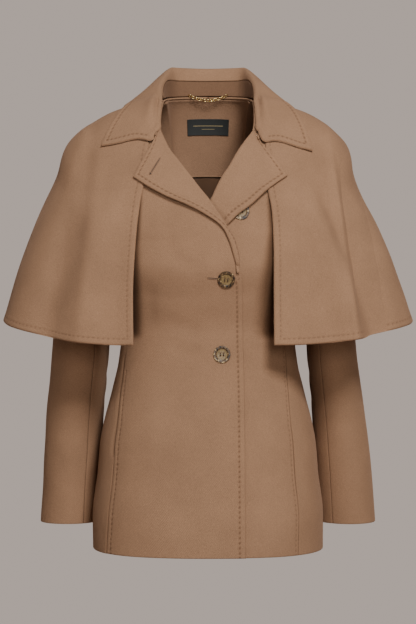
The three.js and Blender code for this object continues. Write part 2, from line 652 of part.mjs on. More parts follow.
// A lapel's face, from inside the front edge (0) round the roll to its outer edge (1).
function lapelPoint(side, across, up) {
  const rows = side < 0 ? LAPEL_RIGHT : LAPEL_LEFT;
  const rollX = column(rows, 'at', 'rollX')(up);
  const rollZ = column(rows, 'at', 'rollZ')(up);
  const edgeX = polyline(rows, 'at', 'edgeX')(up);
  const edgeZ = polyline(rows, 'at', 'edgeZ')(up);
  const stand = polyline(rows, 'at', 'stand')(up);
  const length = Math.hypot(edgeX - rollX, edgeZ - rollZ);
  const low = -LAPEL_CLOTH;
  const high = low + Math.min(stand + LAPEL_CLOTH, ROLL_HEIGHT);
  const radius = (high - low) / 2;
  const turned = LAPEL_TURNED;
  let run;
  let height;
  if (across < turned) {
    const angle = (across / turned) * (180 + LEAD_IN);
    const around = radians(THREE.MathUtils.clamp(angle - LEAD_IN, 0, 180));
    const lead = Math.max(LEAD_IN - angle, 0) / LEAD_IN;
    run = lead > 0 ? mix(radius, ROLL_SET_BACK - 2 * SEAM, lead) : radius - radius * Math.sin(around);
    height = low + radius - radius * Math.cos(around);
  } else {
    const share = (across - turned) / (1 - turned);
    run = mix(radius, length, share);
    height = mix(high, stand, smooth(0, 0.8, share));
  }
  const x = mix(rollX, edgeX, run / length);
  const z = mix(rollZ, edgeZ, run / length);
  return overFront(side < 0 ? 'over' : 'under', x, z, height);
}

function lapel(side) {
  const surface = (across, up) => lapelPoint(side, across, up);
  const rows = side < 0 ? LAPEL_RIGHT : LAPEL_LEFT;
  const ups = rows.slice(1).flatMap((row, i) => [mix(rows[i].at, row.at, 0.5), row.at]);
  return wall(
    [0, 0.04, 0.09, 0.15, 0.21, 0.27, LAPEL_TURNED, 0.45, 0.63, 0.82, 1],
    [0, ...ups],
    LAPEL_CLOTH,
    surface,
    (across, up) => {
      const steady = THREE.MathUtils.clamp(up, 0.011, 0.989);
      return squareTo(surface, across, steady, 0.006, 0.01).multiplyScalar(side);
    },
  );
}

// The collar's table for both sides, from the right gorge round the back to the left one.
const collarRows = [-1, 1].flatMap((side) => {
  const rows = COLLAR.map((row) => {
    const tip = side > 0 ? Math.max(1 - row.at / LEFT_TIP.fade, 0) : 0;
    const mirrored = { ...row, at: side < 0 ? row.at / 2 : 1 - row.at / 2 };
    mirrored.edgeX += LEFT_TIP.x * tip;
    mirrored.edgeY += LEFT_TIP.y * tip;
    mirrored.edgeZ += LEFT_TIP.z * tip;
    for (const name of ['neckX', 'rollX', 'edgeX']) mirrored[name] *= side;
    return mirrored;
  });
  return side < 0 ? rows : rows.reverse().slice(1);
});
const collarColumns = Object.fromEntries(
  Object.keys(COLLAR[0]).map((name) => [name, column(collarRows, 'at', name)]),
);
const collarLine = (line, around) =>
  new THREE.Vector3(...['X', 'Y', 'Z'].map((axis) => collarColumns[line + axis](around)));

// A curve between two points that leaves and arrives along two given tangents.
function between(start, leave, end, arrive, t) {
  const u = 1 - t;
  return new THREE.Vector3()
    .addScaledVector(start, u * u * (1 + 2 * t))
    .addScaledVector(leave, t * u * u)
    .addScaledVector(end, t * t * (3 - 2 * t))
    .addScaledVector(arrive, -t * t * u);
}

const COLLAR_TURNED = 0.34;
const COLLAR_ROUND = evenly(32, 0.0095, 0.9905);

const standAt = column(STAND, 'at', 'share');
const standShare = (around) => standAt(2 * Math.min(around, 1 - around));

// The collar's face, from its stand seam (0) over the roll to its outer edge (1).
function collarPoint(across, around) {
  const neck = collarLine('neck', around);
  const roll = collarLine('roll', around);
  const edge = collarLine('edge', around);
  const rise = roll.clone().sub(neck).normalize();
  const fall = edge.clone().sub(roll);
  const out = fall.clone().addScaledVector(rise, -fall.dot(rise)).normalize();
  const seam = neck.clone().lerp(roll, standShare(around));
  const top = roll.clone().addScaledVector(out, ROLL_RADIUS);
  if (across <= COLLAR_TURNED) {
    const pull = roll.distanceTo(seam);
    const share = across / COLLAR_TURNED;
    return between(seam, rise.multiplyScalar(pull * 1.6), top, out.multiplyScalar(ROLL_RADIUS * 1.6), share);
  }
  const share = (across - COLLAR_TURNED) / (1 - COLLAR_TURNED);
  const drop = edge.clone().sub(top);
  const reach = drop.length();
  const ending = drop.clone().multiplyScalar(0.9).addScaledVector(rise, -reach * 0.12);
  const point = between(top, out.multiplyScalar(reach * 0.55), edge, ending, share);
  const front = 1 - smooth(0, GORGE.fade / 2, Math.min(around, 1 - around));
  const notch = Math.min(share / GORGE.share, (1 - share) / (1 - GORGE.share));
  const nudge = 0.01;
  const inward = around < 0.5 ? around + nudge : around - nudge;
  const forward = collarLine('roll', around).sub(collarLine('roll', inward)).normalize();
  return point.addScaledVector(forward, GORGE.drop * notch * front);
}

const underCollar = [-1, 1].flatMap((side) => sampled(
  (part, drop) => restingCape(side, part, drop),
  evenly(40, 0.01, 0.99),
  evenly(14, 0.01, 0.46),
  (part, drop) => squareTo((u, v) => restingCape(side, u, v), part, drop, 0.02, 0.02)
    .multiplyScalar(side < 0 ? 1 : -1),
));

function collar() {
  return wall(
    [0, 0.1, 0.2, 0.27, COLLAR_TURNED, 0.43, 0.58, 0.76, 1],
    COLLAR_ROUND,
    COLLAR_CLOTH,
    (across, around) => {
      const point = collarPoint(across, around);
      const clear = COLLAR_CLEAR * smooth(0.34, 0.43, across);
      return clear > 0 ? rest(point, underCollar, clear, 1, COLLAR_REACH) : point;
    },
    -1,
  );
}

function collarStand() {
  const surface = (share, around) => {
    const neck = collarLine('neck', around);
    const roll = collarLine('roll', around);
    const gap = SEAM / neck.distanceTo(roll);
    return neck.lerp(roll, mix(gap, standShare(around) - 1.5 * gap, share));
  };
  const arounds = COLLAR_ROUND.filter((around) => around > 0.23 && around < 0.77);
  return wall([0, 0.5, 1], arounds, CLOTH - 0.5, surface, -1);
}

// A place inside the back, at a depth under the outer face.
function insideBack(turn, level, depth) {
  return bodyPoint(turn, level).addScaledVector(clothNormal('plain', turn, level), -depth);
}
const backNormal = (turn, level) => clothNormal('plain', turn, level);
const backLevel = (z) =>
  1 + THREE.MathUtils.radToDeg(Math.asin((z - UNDERARM) / (NECK_BACK.rise - UNDERARM))) / 90;

const UNDER_BACK = CLOTH + 0.5;
const PLEATED = UNDER_BACK + LINING_CLOTH;

function backFacing() {
  return wall(
    ACROSS_BACK,
    BACK_LEVELS.filter((level) => level >= FACING_LEVEL && level < 1.95),
    LINING_CLOTH,
    (turn, level) => insideBack(turn, level, UNDER_BACK),
    backNormal,
  );
}

function backLining() {
  const fold = (turn) => PLEAT.height * bell(turn, 180, PLEAT.turn);
  const turns = [...ACROSS_BACK, 178, 182];
  const levels = BACK_LEVELS.filter((level) => level > 0 && level < FACING_LEVEL);
  return wall(
    turns.sort((a, b) => a - b),
    [levelOf(LINING_HEM), ...levels, FACING_LEVEL - 0.001],
    LINING_CLOTH,
    (turn, level) => insideBack(turn, level, UNDER_BACK + fold(turn)),
    backNormal,
  );
}

function facingPiping() {
  const depth = PLEATED + 6 * SEAM + PIPING;
  const points = evenly(16, 140, 220).map((turn) => insideBack(turn, FACING_LEVEL, depth));
  const path = new THREE.CatmullRomCurve3(points);
  const section = new THREE.Shape();
  section.absarc(0, 0, PIPING, 0, Math.PI * 2);
  return new THREE.ExtrudeGeometry(section, {
    steps: 26, curveSegments: 3, bevelEnabled: false, extrudePath: path,
  });
}

function label() {
  const depth = PLEATED + 2.5 * SEAM;
  const top = backLevel(LABEL.top);
  const half = 180 - solve((turn) => LABEL.width / 2 - insideBack(turn, top, depth).x, 90, 180);
  return wall(
    [180 - half, 171, 176, 180, 184, 189, 180 + half],
    evenly(2, backLevel(LABEL.top - LABEL.height), top),
    LABEL.thick,
    (turn, level) => insideBack(turn, level, depth),
    backNormal,
  );
}

const wasm = await Module();
wasm.setup();

function toManifold(geometry) {
  const bare = geometry.clone();
  bare.deleteAttribute('normal');
  bare.deleteAttribute('uv');
  const merged = mergeVertices(bare, 1e-4);
  return new wasm.Manifold(new wasm.Mesh({
    numProp: 3,
    vertProperties: new Float32Array(merged.attributes.position.array),
    triVerts: new Uint32Array(merged.index.array),
  }));
}

function fromManifold(manifold) {
  const { numProp, vertProperties, triVerts } = manifold.getMesh();
  const positions = [];
  for (let i = 0; i < vertProperties.length; i += numProp) {
    positions.push(vertProperties[i], vertProperties[i + 1], vertProperties[i + 2]);
  }
  const geometry = new THREE.BufferGeometry();
  geometry.setAttribute('position', new THREE.Float32BufferAttribute(positions, 3));
  geometry.setIndex(Array.from(triVerts));
  return geometry;
}

// A button with a raised rim, a dished middle and four sewing holes, its face along +Z.
function buttonBlank() {
  const { radius, thick, rim } = BUTTON;
  const profile = [
    [0, 0],
    [radius - 1.8, 0],
    [radius, 0.9],
    [radius, thick - 1],
    [radius - 1, thick],
    [radius - rim + 1, thick],
    [radius - rim, thick - 0.8],
    [0, thick - 1],
  ].map(([x, y]) => new THREE.Vector2(x, y));
  let blank = toManifold(new THREE.LatheGeometry(profile, 20).rotateX(Math.PI / 2));
  for (const [across, up] of [[1, 1], [-1, 1], [-1, -1], [1, -1]]) {
    const drill = new THREE.CylinderGeometry(BUTTON.hole, BUTTON.hole, 3 * thick, 6);
    drill.rotateX(Math.PI / 2).translate(across * BUTTON.spacing, up * BUTTON.spacing, 0);
    blank = blank.subtract(toManifold(drill));
  }
  return fromManifold(blank);
}

function button(blank, { layer, x, z }) {
  const { turn, level } = placeOnFront(x, z);
  const out = clothNormal(layer, turn, level);
  const seat = clothPoint(layer, turn, level).addScaledVector(out, 0.35);
  const turned = new THREE.Quaternion().setFromUnitVectors(new THREE.Vector3(0, 0, 1), out);
  return blank.clone().applyQuaternion(turned).translate(...seat.toArray());
}

// The hanger chain: links turned by a quarter from one to the next, each biting the last one.
function hangerChain() {
  const { half, top, sag, y, links, long, ring, wire } = CHAIN;
  let chain = null;
  for (let i = 0; i < links; i += 1) {
    const share = mix(-1, 1, i / (links - 1));
    const link = new THREE.TorusGeometry(ring, wire, 4, 8);
    link.scale(long, 1, 1).rotateX(radians(i % 2 ? 70 : -20));
    link.rotateY(-Math.atan2(2 * sag * share, half));
    link.translate(half * share, y, top - sag * (1 - share * share));
    chain = chain ? chain.add(toManifold(link)) : toManifold(link);
  }
  return fromManifold(chain);
}

const group = new THREE.Group();
group.name = 'wool_jacket_with_capelet';

function add(name, geometry, material) {
  const mesh = new THREE.Mesh(geometry, material);
  mesh.name = name;
  group.add(mesh);
}

for (const [name, side] of [['right', -1], ['left', 1]]) {
  const { front, back } = SLEEVE_SEAMS;
  add(`front_${name}`, frontPanel(side), wool);
  add(`side_front_${name}`, sideFront(side), wool);
  add(`back_${name}`, backPanel(side), wool);
  add(`sleeve_upper_${name}`, sleevePanel(side, 12, front, back), wool);
  add(`sleeve_under_${name}`, sleevePanel(side, 7, back - 360, front), wool);
  add(`cape_${name}`, capeHalf(side), wool);
  add(`lapel_${name}`, lapel(side), wool);
}
add('collar', collar(), wool);
add('collar_stand', collarStand(), facingWool);
add('back_facing', backFacing(), facingWool);
add('facing_piping', facingPiping(), facingWool);
add('back_lining', backLining(), satin);
add('label', label(), labelCloth);
add('hanger_chain', hangerChain(), gold);
const blank = buttonBlank();
for (const place of BUTTONS) add(place.name, button(blank, place), horn);

export default group;
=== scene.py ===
"""The finish of a hollow wool jacket with a shoulder capelet: cloth, stitching, buttons and chain.

Lengths in the tables are millimetres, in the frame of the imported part: +Z up, the front faces -Y and
the wearer's left is +X. A side is -1 for the wearer's right and 1 for the left. Meshes are in metres.
"""

import math

import bpy
import numpy as np
from bpy.props import FloatProperty, FloatVectorProperty, PointerProperty
from mathutils import Matrix, Vector


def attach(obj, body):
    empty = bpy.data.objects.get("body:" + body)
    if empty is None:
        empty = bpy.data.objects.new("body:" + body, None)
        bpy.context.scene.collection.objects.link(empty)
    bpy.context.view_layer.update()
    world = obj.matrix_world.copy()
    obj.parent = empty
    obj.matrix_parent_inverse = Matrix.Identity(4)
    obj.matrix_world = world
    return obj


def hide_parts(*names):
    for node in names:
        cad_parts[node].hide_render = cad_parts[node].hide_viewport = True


bl_info = {
    "name": "Wool jacket with a capelet",
    "version": (1, 0, 0),
    "blender": (4, 5, 0),
    "location": "3D View > Sidebar > Jacket",
    "description": "Builds the cloth, stitching, buttons and chain of a wool jacket around its packed solids",
    "category": "Object",
}

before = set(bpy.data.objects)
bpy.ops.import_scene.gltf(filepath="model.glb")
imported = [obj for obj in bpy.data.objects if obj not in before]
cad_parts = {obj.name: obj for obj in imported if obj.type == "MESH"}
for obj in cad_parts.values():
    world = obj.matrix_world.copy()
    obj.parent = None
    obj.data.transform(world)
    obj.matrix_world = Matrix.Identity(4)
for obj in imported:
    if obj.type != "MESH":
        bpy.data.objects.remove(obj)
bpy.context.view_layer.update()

MM = 0.001
SIDES = {"right": -1, "left": 1}


# Tables of the garment's form

def table(names, *rows):
    """Rows of numbers under named columns."""
    return [dict(zip(names.split(), row)) for row in rows]


def columns(rows, *names):
    """Each named column of a table, as an array."""
    return [np.array([row[name] for row in rows], float) for name in names]


CLOTH = 2.5
CAPE_CLOTH = 3.0
COLLAR_CLOTH = 3.5
LAPEL_CLOTH = 2.6
SLEEVE_CLOTH = 2.0
STAND_CLOTH = 2.0
LINING_CLOTH = 1.2
SEAM = 0.3

HEM = -667
UNDERARM = -215
NECK_HALF = 66
NECK_BACK_DEPTH = 80
NECK_BACK_RISE = 14
SHOULDER_X = 184
SHOULDER_Z = -50
ARMHOLE_X = 159
ARMHOLE_DEPTH = 62
FRONT_POWER = 2.6
BACK_POWER = 2.2
CHEST_POWER = 1.7
UPPER_BACK_POWER = 2
NECK_POWER = 2.6

BODY = table(
    "z half front back",
    (-667, 171.5, 153, 147),
    (-619, 172, 148, 149),
    (-556, 164.5, 139, 145),
    (-510, 160.5, 132, 138),
    (-478, 154.5, 127, 131),
    (-436, 144, 119, 121),
    (-393, 134, 114, 110),
    (-350, 129.5, 113, 103),
    (-300, 139, 124, 107),
    (-250, 156, 136, 114),
    (-215, 159, 134, 118),
)
SHOULDER_LINE = table("x z", (0, 16), (66, 0), (131, -19), (160, -32), (184, -50))
OVER_EDGE = table(
    "z x",
    (-667, 54), (-444, 53), (-355, 51), (-289, 50), (-262, 47.5), (-240, 45),
    (-216, 39), (-200, 30), (-177, 16), (-158, 3), (-141, -11), (-121, -26),
    (-98, -43), (-82, -55), (-55, -68), (-40, -69.5), (-20, -68.5), (0, -66),
)
UNDER_EDGE = table(
    "z x",
    (-667, -6), (-220, -6), (-182, -5), (-158, 3), (-148, 8), (-136, 13), (-124, 19),
    (-106, 31), (-80, 46), (-55, 64), (-40, 67), (-20, 67.5), (0, 66),
)
ROLL_SET_BACK = 7.4
OVER_BREAK = -263
UNDER_BREAK = -189
PRINCESS = table(
    "z right left",
    (-667, 55, 44), (-596, 52.5, 44.5), (-490, 53.5, 45.5), (-423, 60, 51),
    (-384, 63, 55), (-300, 62, 57), (-215, 60, 60),
)
PRINCESS_TOP = 1.42
LAP_RAISE = 1.5
LAP_SINK = 1.6
LAP_EXTRA_RAISE = 1.5
LAP_EXTRA_SINK = 3
LAP_CROSSING = -188
LAP_REACH = 45

LAPEL_RIGHT = table(
    "at rollX rollZ edgeX edgeZ stand",
    (0, 47.5, -262, 42.5, -262, 3),
    (0.07, 45, -240, 36.5, -240, 3.4),
    (0.16, 39, -216, 30, -218, 4),
    (0.25, 30, -200, 19, -197, 4.5),
    (0.36, 16, -177, -6, -179, 5.5),
    (0.46, 3, -158, -31, -166, 6.5),
    (0.56, -11, -141, -59, -154, 7),
    (0.66, -26, -121, -83, -141, 7.5),
    (0.78, -43, -98, -106, -126, 8),
    (0.88, -55, -82, -92, -98, 8),
    (1, -68, -55, -77, -71, 7),
)
LAPEL_LEFT = table(
    "at rollX rollZ edgeX edgeZ stand",
    (0, -5, -182, 14, -207, 3.2),
    (0.14, 3, -158, 26, -196, 3.2),
    (0.19, 6, -152, 33, -189, 5.8),
    (0.26, 9, -145, 41, -181, 6.6),
    (0.36, 13, -136, 64, -163, 7.6),
    (0.46, 20, -123, 86, -143, 8.1),
    (0.6, 31, -106, 113, -123, 8),
    (0.8, 46, -80, 95, -99, 8),
    (1, 64, -55, 74, -75, 7),
)
LAPEL_TIP = {-1: 0.78, 1: 0.6}
LAPEL_TURNED = 0.32
ROLL_HEIGHT = 6.4
ROLL_LEAD = 20

COLLAR = table(
    "at neckX neckY neckZ rollX rollY rollZ edgeX edgeY edgeZ",
    (0, 67, -77, -57, 68, -84, -54, 159, -71, -80),
    (0.12, 68.5, -64.5, -39, 71, -69, -36, 145, -50, -58),
    (0.24, 68, -44, -18.5, 72, -47, -15, 130, -29, -30),
    (0.37, 66.5, -16, -1, 71, -18, 4, 118, -5, -9),
    (0.52, 64.6, 20, 4.8, 68.5, 16, 27, 128, 26, -7),
    (0.69, 57, 52.5, 10, 58, 57, 51, 114, 70, -10),
    (0.8, 42, 71, 13.2, 50, 77, 61, 86, 98, -16),
    (1, 0, 81.5, 15.2, 0, 87, 60, 0, 117, -20),
)
LEFT_TIP = {"edgeX": -6, "edgeY": -4, "edgeZ": -9}
LEFT_TIP_FADE = 0.24
STAND = table(
    "at share",
    (0, 0.06), (0.3, 0.06), (0.42, 0.36), (0.51, 0.62), (0.6, 0.76), (0.69, 0.66), (0.8, 0.53), (1, 0.53),
)
ROLL_RADIUS = 5
GORGE_SHARE = 0.13
GORGE_DROP = 14
GORGE_FADE = 0.16
COLLAR_TURNED = 0.34
COLLAR_START = 0.0095
COLLAR_ROWS = 32
COLLAR_CLEAR = COLLAR_CLOTH + 1
COLLAR_REACH = 16

CAPE = table(
    "at right left edgeY edgeZ sideX closer sideZ backY backZ",
    (0, 86, 84, -81, -68, 86, 0, -1, 96, 0),
    (0.12, 87, 83, -92, -84, 108, 1, -7, 102, -14),
    (0.24, 89, 83, -102, -105, 131, 3, -14.5, 110, -37),
    (0.34, 91, 84, -109, -126, 159, 4, -26, 118, -62),
    (0.44, 96, 87, -116, -150, 187, 2, -47, 126, -92),
    (0.54, 100, 92, -122, -180, 211, 6, -86, 134, -126),
    (0.66, 104, 94, -129, -225, 238, 8, -138, 142, -175),
    (0.83, 107, 94, -137, -296, 274, 5, -224, 157, -258),
    (1, 106, 94, -144, -365.5, 306.5, 1, -331, 174, -352),
)
CAPE_SIDE = 0.45
CAPE_POWER = 2.25
CAPE_CORNER = 1.9
CAPE_CLEAR_FRONT = 3.6
CAPE_CLEAR_ROUND = 5.9
CAPE_FREE_FROM = 0.28
CAPE_FREE_TO = 0.6
CAPE_DROPS = (0, 0.08, 0.16, 0.24, 0.31, 0.38, 0.44, 0.5, 0.58, 0.68, 0.79, 0.9, 1)
CAPE_FOLDS = table(
    "side at width height",
    (-1, 0.03, 0.035, -3), (-1, 0.1, 0.045, 6), (-1, 0.19, 0.05, -6), (-1, 0.31, 0.06, 4),
    (1, 0.06, 0.05, -4), (1, 0.155, 0.035, 12), (1, 0.215, 0.04, -9), (1, 0.34, 0.06, 5),
    (-1, 0.58, 0.05, -6), (-1, 0.7, 0.05, 8), (-1, 0.86, 0.06, -6),
    (1, 0.56, 0.05, -5), (1, 0.66, 0.05, 7), (1, 0.8, 0.06, -7),
)

SLEEVE = table(
    "z inner outer slimmer midY depth",
    (-636, 168.5, 254.5, 0, 44, 47),
    (-547, 163, 249.7, 2, 39, 52),
    (-462, 157, 243.5, 7, 32, 56),
    (-357, 149, 234, 12, 20, 63),
    (-300, 149, 231, 11, 13, 67),
    (-240, 162, 231, 6, 5, 69),
)
CUFF = -636
BICEP = -240
SLEEVE_FRONT_SEAM = 56
SLEEVE_BACK_SEAM = 285

FACING_LEVEL = 1.316
FACING_TURNS = (102, 258)
FACING_TOP = 1.94
LINING_HEM = -645
PLEAT_HEIGHT = 1.2
PLEAT_TURN = 3.5
UNDER_BACK = CLOTH + 0.5
PLEATED = UNDER_BACK + LINING_CLOTH
PIPING_RADIUS = 1.0
LABEL_WIDTH = 65
LABEL_HEIGHT = 25
LABEL_TOP = -17
LABEL_THICK = 0.8

BUTTONS = table("layer x z", ("under", 47, -174), ("over", 26, -272), ("over", 20, -379))
BUTTON_NAMES = ("button_top", "button_middle", "button_lower")
BUTTON_SEAT = 0.35
CHAIN_HALF = 27.5
CHAIN_TOP = 15
CHAIN_SAG = 7
CHAIN_Y = 73.35


# Curves through the tables

def mix(a, b, t):
    return a + (b - a) * t


def smooth(start, end, x):
    t = np.clip((x - start) / (end - start), 0, 1)
    return t * t * (3 - 2 * t)


def bell(x, centre, width):
    return np.exp(-(((x - centre) / width) ** 2))


def power(x, exponent):
    return np.sign(x) * np.abs(x) ** exponent


def unit(vectors):
    return vectors / np.maximum(np.linalg.norm(vectors, axis=-1, keepdims=True), 1e-12)


def points(x, y, z):
    """Points from arrays of their coordinates."""
    return np.stack(np.broadcast_arrays(x, y, z), axis=-1).astype(float)


def column(rows, key, name):
    """A smooth curve, free of overshoot, through one named column of a table sorted by its key."""
    xs, ys = columns(rows, key, name)
    steps = np.diff(ys) / np.diff(xs)
    before = np.concatenate([steps[:1], steps])
    after = np.concatenate([steps, steps[-1:]])
    level = before * after <= 0
    slopes = np.where(level, 0, 2 * before * after / np.where(level, 1, before + after))

    def curve(x):
        x = np.asarray(x, float)
        i = np.clip(np.searchsorted(xs, x) - 1, 0, len(xs) - 2)
        span = xs[i + 1] - xs[i]
        t = (x - xs[i]) / span
        u = 1 - t
        ends = ys[i] * u * u * (1 + 2 * t) + ys[i + 1] * t * t * (3 - 2 * t)
        return ends + span * t * u * (slopes[i] * u - slopes[i + 1] * t)

    return curve


def cornered(rows, key, name, corner):
    """Smooth curves through a column up to a corner and on from it."""
    before = column([row for row in rows if row[key] <= corner], key, name)
    after = column([row for row in rows if row[key] >= corner], key, name)
    return lambda x: np.where(np.asarray(x) <= corner, before(x), after(x))


def spline(xs, values):
    """An even curve through values, one for each of xs, along their first axis.

    Given rows, each x reads its own row along the values' second axis.
    """
    xs, values = np.asarray(xs, float), np.asarray(values, float)
    steps = np.diff(xs)
    count = len(xs)
    matrix = np.eye(count)
    bends = np.zeros_like(values)
    for i in range(1, count - 1):
        matrix[i, i - 1:i + 2] = steps[i - 1], 2 * (steps[i - 1] + steps[i]), steps[i]
        bends[i] = 6 * ((values[i + 1] - values[i]) / steps[i] - (values[i] - values[i - 1]) / steps[i - 1])
    shape = (count, -1)
    bends = np.linalg.solve(matrix, bends.reshape(shape)).reshape(values.shape)

    def curve(x, rows=None):
        x = np.asarray(x, float)
        i = np.clip(np.searchsorted(xs, x) - 1, 0, count - 2)
        low, high = (i, i + 1) if rows is None else ((i, rows), (i + 1, rows))
        wide = (...,) + (None,) * (values[low].ndim - x.ndim)
        h = steps[i][wide]
        a, b = ((xs[i + 1] - x) / steps[i])[wide], ((x - xs[i]) / steps[i])[wide]
        bent = ((a**3 - a) * bends[low] + (b**3 - b) * bends[high]) * h * h / 6
        return a * values[low] + b * values[high] + bent

    return curve


def solve(rising, low, high):
    """Where a rising function of arrays reaches zero between low and high."""
    low, high = np.array(low, float), np.array(high, float)
    for _ in range(34):
        middle = (low + high) / 2
        below = rising(middle) < 0
        low = np.where(below, middle, low)
        high = np.where(below, high, middle)
    return (low + high) / 2


def square_to(surface, u, v, du, dv):
    """The unit vectors square to a surface."""
    across = surface(u + du, v) - surface(u - du, v)
    along = surface(u, v + dv) - surface(u, v - dv)
    return unit(np.cross(across, along))


# The body

body_half = column(BODY, "z", "half")
body_front = column(BODY, "z", "front")
body_back = column(BODY, "z", "back")
shoulder_z = column(SHOULDER_LINE, "x", "z")


def armhole(climb):
    """The sleeve's seam from the underarm (0) to the shoulder (1): its rise, x, y and z."""
    rise = (1 - np.cos(math.pi * climb)) / 2
    x = mix(ARMHOLE_X, SHOULDER_X, rise**1.8)
    return rise, x, ARMHOLE_DEPTH * np.sin(math.pi * climb), mix(UNDERARM, SHOULDER_Z, rise)


def body_top(front, across):
    """The y and z of the front's or back's top at a share of the shoulder's width."""
    x = np.abs(across) * SHOULDER_X
    within = np.clip(1 - (x / NECK_HALF) ** NECK_POWER, 0, 1) ** (1 / NECK_POWER)
    plain = front | (x >= NECK_HALF)
    y = np.where(plain, 0, NECK_BACK_DEPTH * within)
    return y, np.where(plain, shoulder_z(x), NECK_BACK_RISE * within)


def body_point(turn, level):
    """The body's outer face. A turn is in degrees from 0 at the centre front to 180 at the back.

    A level is 0 at the hem, 1 at the underarm and 2 at the shoulder and neck.
    """
    turn, level = np.broadcast_arrays(np.asarray(turn, float), np.asarray(level, float))
    sin, cos = np.sin(np.radians(turn)), np.cos(np.radians(turn))
    front = cos > 0
    exponent = 2 / np.where(front, FRONT_POWER, BACK_POWER)
    across = power(sin, exponent)
    deep = np.abs(cos) ** exponent
    facing = np.where(front, -1, 1)
    low_z = mix(HEM, UNDERARM, np.minimum(level, 1))
    depth = np.where(front, body_front(low_z), body_back(low_z))
    low = points(across * body_half(low_z), facing * deep * depth, low_z)
    climb = np.clip(level - 1, 0, 1)
    rise, hole_x, hole_y, _ = armhole(climb)
    roundness = 2 / np.where(front, CHEST_POWER, UPPER_BACK_POWER)
    lift = np.sin(math.pi / 2 * climb) ** roundness
    keep = np.maximum(np.cos(math.pi / 2 * climb), 0) ** roundness
    top_y, top_z = body_top(front, across)
    y = facing * (deep * depth * keep + hole_y * (1 - deep)) + top_y * (1 - keep)
    share = mix(lift, rise, np.abs(across) ** 3)
    high = points(across * hole_x, y, mix(UNDERARM, top_z, share))
    return np.where((level <= 1)[..., None], low, high)


def lap_lift(layer, x, z):
    """Where one front laps over the other, the right one is raised and the left one sinks."""
    if layer == "plain":
        return np.zeros_like(x)
    lapped = smooth(-95, -150, z)
    crossing = bell(z, LAP_CROSSING, LAP_REACH)
    if layer == "over":
        return lapped * smooth(-70, -20, x) * (LAP_RAISE + LAP_EXTRA_RAISE * crossing)
    return -lapped * (1 - smooth(60, 110, x)) * (LAP_SINK + LAP_EXTRA_SINK * crossing)


def cloth_point(layer, turn, level):
    point = body_point(turn, level)
    point[..., 1] -= lap_lift(layer, point[..., 0], point[..., 2])
    return point


def cloth_normal(layer, turn, level):
    """The direction out of the body, taken inside the armhole and below the shoulder seam."""
    turn, level = np.broadcast_arrays(np.asarray(turn, float), np.asarray(level, float))
    size = np.abs(turn)
    steady = np.where(size <= 90, np.minimum(size, 89), np.clip(size, 91, 269))
    steady = np.where(level > 1, np.sign(turn) * steady, turn)
    return square_to(lambda u, v: cloth_point(layer, u, v), steady, np.minimum(level, 1.988), 1, 0.012)


def place_on_front(x, z):
    """The turn and level of the front over one x and z."""
    x, z = np.broadcast_arrays(np.asarray(x, float), np.asarray(z, float))

    def turn_at(level):
        low = body_half(mix(HEM, UNDERARM, np.minimum(level, 1)))
        half = np.where(level <= 1, low, armhole(np.clip(level - 1, 0, 1))[1])
        across = np.clip(x / half, -1, 1)
        return np.degrees(np.arcsin(power(across, FRONT_POWER / 2)))

    def above(trial):
        return body_point(turn_at(trial), trial)[..., 2] - z

    level = solve(above, np.zeros_like(x), np.full_like(x, 2))
    return turn_at(level), level


def over_front(layer, x, z, height):
    """Points over one x and z of a front, moved out by a height."""
    turn, level = place_on_front(x, z)
    out = cloth_normal(layer, turn, level)
    return cloth_point(layer, turn, level) + out * np.asarray(height, float)[..., None]


def edge_turn(side, level):
    """The turn that lies on a front's inner edge."""
    edge = column(OVER_EDGE if side < 0 else UNDER_EDGE, "z", "x")
    break_z = OVER_BREAK if side < 0 else UNDER_BREAK

    def past(turn):
        point = body_point(turn, level)
        x, z = point[..., 0], point[..., 2]
        lean = (edge(z + 1) - edge(z - 1)) / 2
        back = ROLL_SET_BACK * smooth(break_z - 2, break_z, z) * (1 - smooth(-57, -53, z))
        return x - edge(z) - side * back * np.hypot(1, lean)

    return solve(past, np.full(np.shape(level), -89), np.full(np.shape(level), 89))


def princess_turn(side, level):
    """The turn of the seam between a front and its side front."""
    z = np.minimum(mix(HEM, UNDERARM, level), UNDERARM)
    turn = column(PRINCESS, "z", "right" if side < 0 else "left")(z)
    up = np.clip((level - 1) / (PRINCESS_TOP - 1), 0, 1)
    return np.where(level <= 1, turn, mix(turn, 88.5, up**1.5))


# The sleeves

sleeve_columns = {name: column(SLEEVE, "z", name) for name in SLEEVE[0]}


def sleeve_point(side, turn, level):
    """A sleeve's outer face: turn 0 next to the body, 90 in front; level 0 at the cuff, 2 at the armhole."""
    turn, level = np.broadcast_arrays(np.asarray(turn, float), np.asarray(level, float))
    z = np.minimum(mix(CUFF, BICEP, level), BICEP)
    inner = sleeve_columns["inner"](z)
    outer = sleeve_columns["outer"](z) - (sleeve_columns["slimmer"](z) if side > 0 else 0)
    cos, sin = np.cos(np.radians(turn)), np.sin(np.radians(turn))
    x = (inner + outer) / 2 - (outer - inner) / 2 * cos
    y = sleeve_columns["midY"](z) - sleeve_columns["depth"](z) * sin
    bend = np.clip(level - 1, 0, 1) * math.pi / 2
    _, hole_x, hole_y, hole_z = armhole(np.arccos(np.clip(cos, -1, 1)) / math.pi)
    hole_x = hole_x + 1
    high = points(
        side * (hole_x + (x - hole_x) * np.cos(bend)),
        mix(y, -np.sign(sin) * hole_y, np.sin(bend)),
        mix(BICEP, hole_z, np.sin(bend)),
    )
    low = points(side * x, y, mix(CUFF, BICEP, level))
    return np.where((level <= 1)[..., None], low, high)


# The capelet

cape_columns = {name: column(CAPE, "at", name) for name in CAPE[0]}


